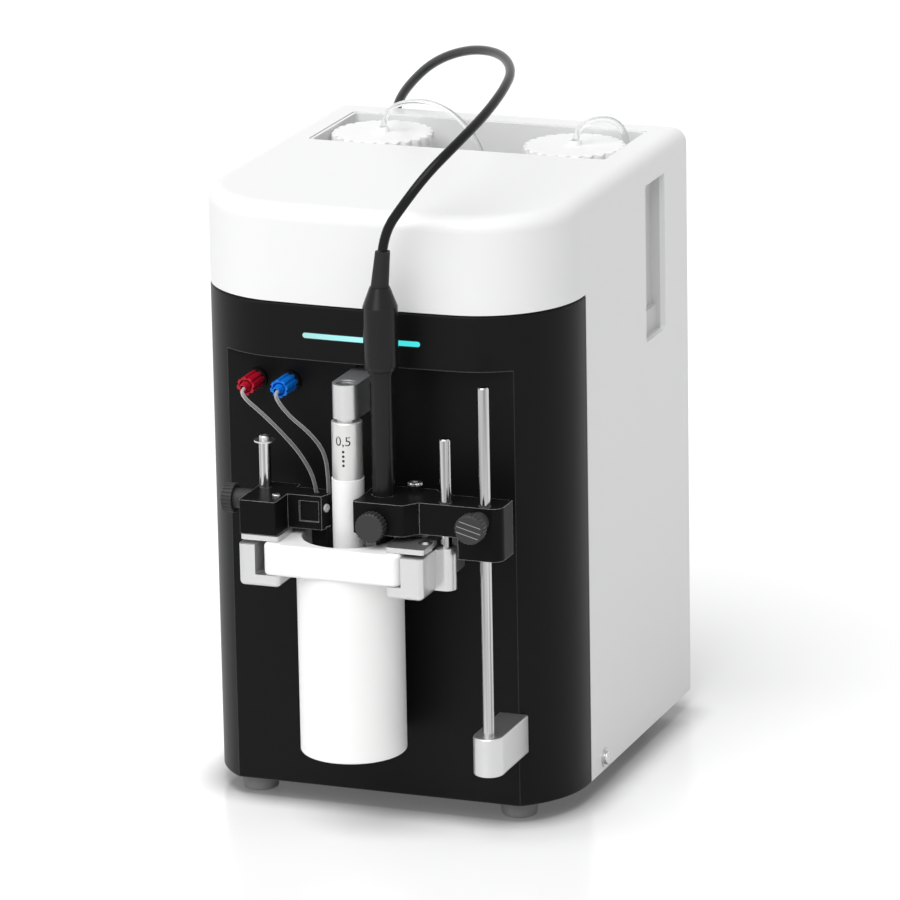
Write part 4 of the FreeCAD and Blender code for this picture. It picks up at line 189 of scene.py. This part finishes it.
def bright_rims(mat, core, rim):
    """Clear tube over a dark ground, painted: dark in the middle for the dark ground seen
    through, and painted reflections along both rims.
    """
    tree = mat.node_tree
    facing = tree.nodes.new("ShaderNodeLayerWeight")
    facing.inputs["Blend"].default_value = 0.5
    ramp = tree.nodes.new("ShaderNodeValToRGB")
    ramp.color_ramp.elements[0].position = 0.15
    ramp.color_ramp.elements[0].color = (*core, 1)
    ramp.color_ramp.elements[1].position = 0.6
    ramp.color_ramp.elements[1].color = (*rim, 1)
    tree.links.new(facing.outputs["Facing"], ramp.inputs["Fac"])
    tree.links.new(ramp.outputs["Color"], shader_of(mat).inputs["Base Color"])
    return mat


def streaks(mat, scale, dark, light, stretch):
    """Grey that varies in fine lines along a piece: the lines of drawn steel together with
    painted reflection bands.
    """
    tree = mat.node_tree
    noise = tree.nodes.new("ShaderNodeTexNoise")
    noise.inputs["Scale"].default_value = scale
    noise.inputs["Detail"].default_value = 2
    spread = tree.nodes.new("ShaderNodeMapRange")
    spread.inputs["From Min"].default_value = 0.3
    spread.inputs["From Max"].default_value = 0.7
    spread.inputs["To Min"].default_value = dark
    spread.inputs["To Max"].default_value = light
    tree.links.new(coordinates(mat, stretch), noise.inputs["Vector"])
    tree.links.new(noise.outputs["Fac"], spread.inputs["Value"])
    tree.links.new(spread.outputs["Result"], shader_of(mat).inputs["Base Color"])
    return mat


white_cover = grain(material("white_cover", (0.88, 0.88, 0.885), 0.38), 900, 0.06)
well_white = grain(material("well_white", (0.86, 0.86, 0.865), 0.45), 900, 0.06)
# The grips' grey is painted shade: they are recesses, darker than the cover where less light
# reaches in.
grip_painted_shade = grain(material("grip_painted_shade", (0.68, 0.68, 0.685), 0.5), 1100, 0.08)
# The lighter colour along the panel's edges is a painted highlight of their rounded edges.
black_panel = material("black_panel", (0.006, 0.006, 0.0065), 0.38, specular=0.095)
grain(edge_wear_and_highlight(black_panel, 0.0008, (0.006, 0.006, 0.0065), (0.12, 0.12, 0.12)), 1600, 0.1)
black_plastic = grain(material("black_plastic", (0.007, 0.007, 0.0075), 0.34, specular=0.13),
                      1400, 0.08)
# The lighter colour along the anodised edges is partly wear and partly a painted highlight.
black_anodised = material("black_anodised", (0.007, 0.007, 0.0075), 0.3, specular=0.045)
grain(edge_wear_and_highlight(black_anodised, 0.0004, (0.007, 0.007, 0.0075), (0.5, 0.5, 0.5)), 1400, 0.08)
knob_black = grain(material("knob_black", (0.036, 0.036, 0.037), 0.5, specular=0.25), 1800, 0.1)
probe_black = grain(material("probe_black", (0.008, 0.008, 0.0085), 0.24, specular=0.22),
                    1200, 0.05)
grey_panel = grain(material("grey_panel", (0.55, 0.56, 0.57), 0.5), 1800, 0.12)
zinc_steel = uneven_gloss(material("zinc_steel", (0.55, 0.55, 0.54), 0.4, 1.0), 60, 0.32, 0.5)
steel = uneven_gloss(material("steel", (0.6, 0.6, 0.6), 0.3, 1.0), 300, 0.24, 0.36)
# The guide rods' dark and light streaks are partly painted reflection bands of their
# surroundings.
ground_steel = streaks(material("ground_steel", (0.7, 0.7, 0.7), 0.13, 1.0),
                       900, 0.25, 0.68, (1, 1, 0.006))
aluminium = uneven_gloss(material("aluminium", (0.62, 0.62, 0.625), 0.36, 0.9), 500, 0.3, 0.42)
brushed_sleeve = uneven_gloss(material("brushed_sleeve", (0.70, 0.70, 0.69), 0.36, 0.6),
                              900, 0.26, 0.42, (1, 1, 0.04))
rubber = material("rubber", (0.014, 0.014, 0.014), 0.6, specular=0.25)
foot_rubber = grain(material("foot_rubber", (0.2, 0.2, 0.2), 0.65, specular=0.3), 1500, 0.1)
ptfe = material("ptfe", (0.96, 0.96, 0.955), 0.4)
cap_white = waxy(material("cap_white", (0.95, 0.95, 0.95), 0.4), 0.5, 0.003)
nut_red = material("nut_red", (0.45, 0.005, 0.022), 0.35, specular=0.35)
nut_blue = material("nut_blue", (0.004, 0.19, 0.74), 0.35, specular=0.35)
cable_jacket = material("cable_jacket", (0.007, 0.0072, 0.0075), 0.2, specular=0.15)
board = material("board", (0.02, 0.16, 0.07), 0.35)
clear_tube = material("clear_tube", (0.93, 0.94, 0.94), 0.08, transmission=0.9, ior=1.38)
# The titrant tubes' dark middle and light rims are painted, standing for the dark ground seen
# through and reflections on the rims.
titrant_tube = bright_rims(material("titrant_tube", (0.2, 0.2, 0.2), 0.2, specular=0.4),
                           (0.09, 0.09, 0.092), (0.5, 0.5, 0.505))
bottle_glass = material("bottle_glass", (0.93, 0.95, 0.95), 0.03, transmission=0.95)
ink = material("ink", (0.012, 0.012, 0.013), 0.5)
rib_grey = material("rib_grey", (0.35, 0.35, 0.35), 0.4)
light_guide = material("light_guide", (0.05, 0.16, 0.16), 0.35)


def glow():
    """Light bar: pale at the left and in the middle, deeper at the right."""
    tree = light_guide.node_tree
    source = tree.nodes.new("ShaderNodeTexCoord")
    split = tree.nodes.new("ShaderNodeSeparateXYZ")
    spread = tree.nodes.new("ShaderNodeMapRange")
    spread.inputs["From Min"].default_value = -LED_HALF_LENGTH
    spread.inputs["From Max"].default_value = LED_HALF_LENGTH
    ramp = tree.nodes.new("ShaderNodeValToRGB")
    ramp.color_ramp.elements[0].color = (0.33, 0.59, 0.59, 1)
    ramp.color_ramp.elements[1].position = 0.8
    ramp.color_ramp.elements[1].color = (0.03, 0.70, 0.69, 1)
    middle = ramp.color_ramp.elements.new(0.5)
    middle.color = (0.33, 0.80, 0.79, 1)
    shader = shader_of(light_guide)
    tree.links.new(source.outputs["Object"], split.inputs["Vector"])
    tree.links.new(split.outputs["X"], spread.inputs["Value"])
    tree.links.new(spread.outputs["Result"], ramp.inputs["Fac"])
    tree.links.new(ramp.outputs["Color"], shader.inputs["Emission Color"])
    shader.inputs["Emission Strength"].default_value = 1.05


glow()

LOOKS = {
    white_cover: ["top_cover"],
    well_white: ["bottle_well"],
    grip_painted_shade: ["side_grips"],
    black_panel: ["front_panel"],
    grey_panel: ["rear_panel"],
    zinc_steel: ["base_plate", "power_supply"],
    steel: ["housing_screws", "post_stop", "piston_screw", "pivot_screws", "holder_screw",
            "cell_electrodes", "usb_port", "probe_socket", "drive_motor", "crank_disc"],
    ground_steel: ["guide_rods", "tube_post", "carrier_rods"],
    aluminium: ["mounting_plate", "drive_frame", "piston_carriage", "fork_left", "fork_right",
                "clamp_plate_left", "clamp_plate_right", "piston_arm", "rod_foot"],
    brushed_sleeve: ["piston_sleeve"],
    black_plastic: ["dosing_pumps", "power_inlet", "switch_frame", "power_switch", "probe_plug",
                    "bulkhead_unions"],
    black_anodised: ["probe_carrier", "tube_holder"],
    knob_black: ["holder_knob", "jaw_knob", "rod_knob"],
    probe_black: ["probe_shaft", "probe_head"],
    rubber: ["strain_relief"],
    foot_rubber: ["rubber_feet"],
    ptfe: ["measuring_cell", "piston_rod"],
    cap_white: ["bottle_cap_left", "bottle_cap_right"],
    bottle_glass: ["bottle_left", "bottle_right"],
    nut_red: ["nut_red"],
    nut_blue: ["nut_blue"],
    board: ["control_board"],
    light_guide: ["led_bar"],
    cable_jacket: ["probe_cable"],
    clear_tube: ["bottle_tube_left", "bottle_tube_right"],
    titrant_tube: ["titrant_tube_red", "titrant_tube_blue"],
}
for look, names in LOOKS.items():
    for name in names:
        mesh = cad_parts[name].data
        mesh.materials.clear()
        mesh.materials.append(look)

# Cords

CABLE_ROUTE = [
    (21.0, -20.5, 298.6), (22.5, -20.5, 308.4), (32.2, -20.4, 322.2), (42.8, -14.0, 337.5),
    (51.8, 3.5, 349.0), (56.5, 30.0, 357.3), (55.7, 63.0, 363.9), (48.1, 98.0, 366.7),
    (29.2, 131.0, 367.4), (0.8, 161.0, 361.3), (-29.4, 188.0, 347.3), (-53.6, 212.0, 327.4),
    (-68.0, 229.5, 311.0), (-71.2, 237.5, 297.0), (-72.2, 238.8, 282.0), (-70.1, 233.4, 266.5),
    (-70.0, 233.0, 253.6),
]
RED_TUBE_ROUTE = [
    (-61.5, 0.0, 217.2), (-61.4, -12.5, 217.1), (-56.3, -18.7, 214.4), (-47.2, -21.2, 209.2),
    (-37.0, -22.8, 201.4), (-24.8, -23.4, 189.8), (-16.9, -22.1, 174.5), (-16.8, -22.0, 162.5),
]
BLUE_TUBE_ROUTE = [
    (-43.2, 0.0, 217.2), (-43.1, -12.0, 217.1), (-38.2, -18.0, 213.4), (-30.5, -20.2, 206.8),
    (-20.8, -21.6, 200.8), (-12.2, -22.0, 191.4), (-10.9, -20.7, 177.0), (-11.0, -20.6, 163.5),
]
LEFT_BOTTLE_TUBE_ROUTE = [
    (-54.0, 173.5, 216.0), (-54.1, 173.6, 240.0), (-53.9, 173.5, 265.0), (-54.1, 173.4, 290.0),
    (-54.0, 173.5, 314.9), (-49.6, 173.6, 323.4), (-40.3, 173.7, 327.4), (-27.5, 173.9, 328.4),
    (-16.5, 174.1, 324.2), (-7.5, 174.3, 316.8), (-0.4, 174.5, 307.6), (3.6, 174.6, 295.6),
    (4.6, 174.5, 280.6), (4.4, 174.6, 258.6), (4.6, 174.5, 236.0), (4.5, 174.6, 213.5),
]
RIGHT_BOTTLE_TUBE_ROUTE = [
    (54.0, 173.5, 216.0), (54.1, 173.6, 241.0), (53.9, 173.5, 266.0), (54.1, 173.4, 290.0),
    (54.0, 173.5, 314.9), (58.2, 175.0, 321.4), (64.5, 180.0, 323.6), (70.2, 188.0, 321.6),
    (73.4, 195.2, 315.6), (74.8, 199.0, 303.0), (75.0, 199.2, 281.0), (74.8, 199.1, 259.0),
    (75.0, 199.2, 236.0), (74.9, 199.1, 213.5),
]


def link(obj):
    bpy.context.scene.collection.objects.link(obj)
    return obj


def mesh_of(obj):
    """Mesh of an object as it stands."""
    graph = bpy.context.evaluated_depsgraph_get()
    return bpy.data.meshes.new_from_object(obj.evaluated_get(graph))


def smooth_line(name, route, diameter):
    """Curve of one open spline whose control points are the route."""
    data = bpy.data.curves.new(name, "CURVE")
    data.dimensions = "3D"
    data.resolution_u = 10
    data.bevel_depth = diameter / 2000
    data.bevel_resolution = 5
    data.use_fill_caps = True
    spline = data.splines.new("NURBS")
    spline.points.add(len(route) - 1)
    for point, at in zip(spline.points, route):
        point.co = (*place(*at), 1)
    spline.order_u = 3
    spline.use_endpoint_u = True
    return link(bpy.data.objects.new(name, data))


def cord(name, node, route, diameter, look, ends=()):
    """Tube along a route. With ends it is left in the world frame, and the bodies that ends
    names are not used; without ends it is attached to the housing.
    """
    curve = smooth_line(name + "_curve", route, diameter)
    bpy.context.view_layer.update()
    tube = mesh_of(curve)
    curve.data.bevel_depth = 0
    bpy.context.view_layer.update()
    line = [v.co.copy() for v in mesh_of(curve).vertices]
    bpy.data.objects.remove(curve)
    for polygon in tube.polygons:
        polygon.use_smooth = True
    tube.materials.clear()
    tube.materials.append(look)
    piece = link(bpy.data.objects.new(name, tube))
    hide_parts(node)
    if ends:
        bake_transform(piece)
    else:
        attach(piece, "housing")
    return piece


cord("cable_probe", "probe_cable", CABLE_ROUTE, 5.0, cable_jacket,
     ("carrier", "housing"))
cord("tube_red", "titrant_tube_red", RED_TUBE_ROUTE, 2.0, titrant_tube,
     ("housing", "holder"))
cord("tube_blue", "titrant_tube_blue", BLUE_TUBE_ROUTE, 2.0, titrant_tube,
     ("housing", "holder"))
cord("tube_left", "bottle_tube_left", LEFT_BOTTLE_TUBE_ROUTE, 2.8, clear_tube)
cord("tube_right", "bottle_tube_right", RIGHT_BOTTLE_TUBE_ROUTE, 3.4, clear_tube)

# Marks on the piston sleeve

SLEEVE_RADIUS = 7.9
SLEEVE_AXIS = (0.0, -21.5)
MARK_TURN = math.radians(6)
MARK_HEIGHT = 0.04
DOT_SIDES = 12


def finish_piece(name, vertices, faces, look, body):
    mesh = bpy.data.meshes.new(name)
    mesh.from_pydata(vertices, [], faces)
    mesh.materials.append(look)
    piece = link(bpy.data.objects.new(name, mesh))
    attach(piece, body)
    return piece


def on_sleeve(points_mm):
    """Bends flat points, x along the rim and z upright, round the sleeve."""
    bent = []
    for x, z in points_mm:
        angle = x / SLEEVE_RADIUS + MARK_TURN
        r = SLEEVE_RADIUS + MARK_HEIGHT
        bent.append(place(SLEEVE_AXIS[0] + r * math.sin(angle),
                          SLEEVE_AXIS[1] - r * math.cos(angle), z))
    return bent


def sleeve_number(text, size, z):
    data = bpy.data.curves.new("sleeve_number", "FONT")
    data.body = text
    data.size = size
    data.align_x = "CENTER"
    data.resolution_u = 3
    obj = link(bpy.data.objects.new("sleeve_text", data))
    bpy.context.view_layer.update()
    mesh = mesh_of(obj)
    bpy.data.objects.remove(obj)
    bent = on_sleeve([(v.co.x, z + v.co.y) for v in mesh.vertices])
    for vertex, at in zip(mesh.vertices, bent):
        vertex.co = at
    mesh.materials.clear()
    mesh.materials.append(ink)
    piece = link(bpy.data.objects.new("sleeve_number", mesh))
    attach(piece, "piston")


def sleeve_dots(count, z_top, pitch, radius):
    vertices, faces = [], []
    angles = [2 * math.pi * k / DOT_SIDES for k in range(DOT_SIDES)]
    for i in range(count):
        z = z_top - i * pitch
        vertices += on_sleeve([(radius * math.cos(a), z + radius * math.sin(a)) for a in angles])
        faces.append(list(range(i * DOT_SIDES, (i + 1) * DOT_SIDES)))
    finish_piece("sleeve_dots", vertices, faces, ink, "piston")


sleeve_number("0,5", 7.0, 197.3)
sleeve_dots(4, 194.2, 2.4, 0.72)

# Small screws and moulded lines

BAR_SINK = 0.05


def turned_piece(name, centre, axis, profile, sides, look, body, knurl=0.0):
    """Small turned part: rings of a radius and a height, every other corner in by knurl."""
    turn = Vector((0, 0, 1)).rotation_difference(Vector(axis)).to_matrix()
    vertices, faces = [], []
    for radius, height in profile:
        for k in range(sides):
            angle = 2 * math.pi * k / sides
            reach = radius - (knurl if k % 2 else 0)
            offset = turn @ Vector((reach * math.cos(angle), reach * math.sin(angle), height))
            vertices.append(place(*(Vector(centre) + offset)))
    for i in range(len(profile) - 1):
        for k in range(sides):
            a, b = i * sides + k, i * sides + (k + 1) % sides
            faces.append((a, b, b + sides, a + sides))
    last = (len(profile) - 1) * sides
    faces.append(tuple(reversed(range(sides))))
    faces.append(tuple(range(last, last + sides)))
    return finish_piece(name, vertices, faces, look, body)


def raised_bars(name, bars, along, across, out, look, body):
    """Flat bars on a face; each bar is its middle, half length, half width and height."""
    vertices, faces = [], []
    for middle, half_length, half_width, height in bars:
        start = len(vertices)
        for h in (-BAR_SINK, height):
            for a, b in ((-1, -1), (1, -1), (1, 1), (-1, 1)):
                at = (Vector(middle) + a * half_length * Vector(along)
                      + b * half_width * Vector(across) + h * Vector(out))
                vertices.append(place(*at))
        faces += [tuple(start + k for k in face) for face in
                  ((0, 3, 2, 1), (4, 5, 6, 7), (0, 1, 5, 4), (1, 2, 6, 5), (2, 3, 7, 6),
                   (3, 0, 4, 7))]
    return finish_piece(name, vertices, faces, look, body)


CARRIER_SCREW = (31.5, -9.2, 171.3)
turned_piece("carrier_screw_boss", CARRIER_SCREW, (0, 0, 1), [(3.2, 0), (3.2, 2.6)], 28,
             black_plastic, "carrier")
turned_piece("carrier_screw_head", CARRIER_SCREW, (0, 0, 1),
             [(3.6, 2.6), (3.9, 2.9), (3.9, 3.9), (3.6, 4.2), (1.6, 4.2), (1.4, 3.4)], 40,
             steel, "carrier", knurl=0.3)
GUIDE_SCREW = (-10.7, -25.75, 162.8)
turned_piece("guide_screw_head", GUIDE_SCREW, (0.938, -0.346, 0),
             [(2.3, 0), (2.3, 0.5), (2.0, 0.8), (1.1, 0.8), (1.0, 0.3)], 24,
             steel, "holder")

KNOB_CENTRE = (73.9, -46.3, 164.3)
KNOB_FACE_RADIUS = 6.6
LINE_TILT = math.radians(-15)
LINE_PITCH = 2.9
LINE_HALF_WIDTH = 0.16
LINE_HEIGHT = 0.07


def knob_lines():
    """Three lines across the rod knob's face, as long as the face is wide there."""
    along = (math.cos(LINE_TILT), 0, math.sin(LINE_TILT))
    across = (-math.sin(LINE_TILT), 0, math.cos(LINE_TILT))
    bars = []
    for step in (-1, 0, 1):
        offset = step * LINE_PITCH
        middle = Vector(KNOB_CENTRE) + offset * Vector(across)
        half_length = math.sqrt(KNOB_FACE_RADIUS ** 2 - offset ** 2)
        bars.append((tuple(middle), half_length, LINE_HALF_WIDTH, LINE_HEIGHT))
    raised_bars("rod_knob_lines", bars, along, across, (0, -1, 0), rib_grey,
                "rod_knob")


knob_lines()

# Stage and light

SKY_LIGHT = 0.45
FLOOR_REACH = 12.0
FLOOR_LIGHT = 0.8
FLOOR_LIFT = 0.1
FLOOR_ROUGHNESS = 0.2
CONTACT_REACH = 0.026
CONTACT_DARK = 0.14
CONTACT_BEGINS = 0.9
CONTACT_FULL = 0.45
KEY_TOWARD = (-0.14, -0.60, 0.79)
KEY_STRENGTH = 2.4
KEY_ANGLE = math.radians(60)


def background_rays(tree):
    """1 for the rays that show the background, and 0 for those that light the object."""
    path = tree.nodes.new("ShaderNodeLightPath")
    result = path.outputs["Is Camera Ray"]
    for name in ("Is Glossy Ray", "Is Transmission Ray"):
        largest = tree.nodes.new("ShaderNodeMath")
        largest.operation = "MAXIMUM"
        tree.links.new(result, largest.inputs[0])
        tree.links.new(path.outputs[name], largest.inputs[1])
        result = largest.outputs["Value"]
    return result


def between(tree, low, high, factor):
    spread = tree.nodes.new("ShaderNodeMapRange")
    spread.inputs["To Min"].default_value = low
    spread.inputs["To Max"].default_value = high
    tree.links.new(factor, spread.inputs["Value"])
    return spread.outputs["Result"]


def contact_shade(tree):
    """1 on the open floor and down to CONTACT_DARK close to and under the object."""
    closeness = tree.nodes.new("ShaderNodeAmbientOcclusion")
    closeness.samples = 16
    closeness.inputs["Distance"].default_value = CONTACT_REACH
    spread = tree.nodes.new("ShaderNodeMapRange")
    spread.inputs["From Min"].default_value = CONTACT_FULL
    spread.inputs["From Max"].default_value = CONTACT_BEGINS
    spread.inputs["To Min"].default_value = CONTACT_DARK
    tree.links.new(closeness.outputs["AO"], spread.inputs["Value"])
    return spread.outputs["Result"]


def make_floor():
    mesh = bpy.data.meshes.new("floor")
    corners = [(x * FLOOR_REACH, y * FLOOR_REACH, 0)
               for x, y in ((-1, -1), (1, -1), (1, 1), (-1, 1))]
    mesh.from_pydata(corners, [], [(0, 1, 2, 3)])
    mat = material("floor", (1, 1, 1), FLOOR_ROUGHNESS)
    tree = mat.node_tree
    shader = shader_of(mat)
    background = background_rays(tree)
    color = between(tree, FLOOR_LIGHT, 1, background)
    tree.links.new(contact_shade(tree), color.node.inputs["To Max"])
    tree.links.new(color, shader.inputs["Base Color"])
    shader.inputs["Emission Color"].default_value = (1, 1, 1, 1)
    tree.links.new(between(tree, 0, FLOOR_LIFT, background), shader.inputs["Emission Strength"])
    mesh.materials.append(mat)
    floor = link(bpy.data.objects.new("floor", mesh))


def make_world():
    world = bpy.data.worlds.new("studio")
    world.use_nodes = True
    bpy.context.scene.world = world
    tree = world.node_tree
    background = tree.nodes["Background"]
    background.inputs["Color"].default_value = (1, 1, 1, 1)
    tree.links.new(between(tree, SKY_LIGHT, 1, background_rays(tree)),
                   background.inputs["Strength"])


def make_key():
    data = bpy.data.lights.new("key", "SUN")
    data.energy = KEY_STRENGTH
    data.angle = KEY_ANGLE
    sun = link(bpy.data.objects.new("key", data))
    sun.rotation_euler = Vector(KEY_TOWARD).to_track_quat("Z", "Y").to_euler()


make_floor()
make_world()
make_key()

bpy.context.scene.view_settings.view_transform = "Standard"
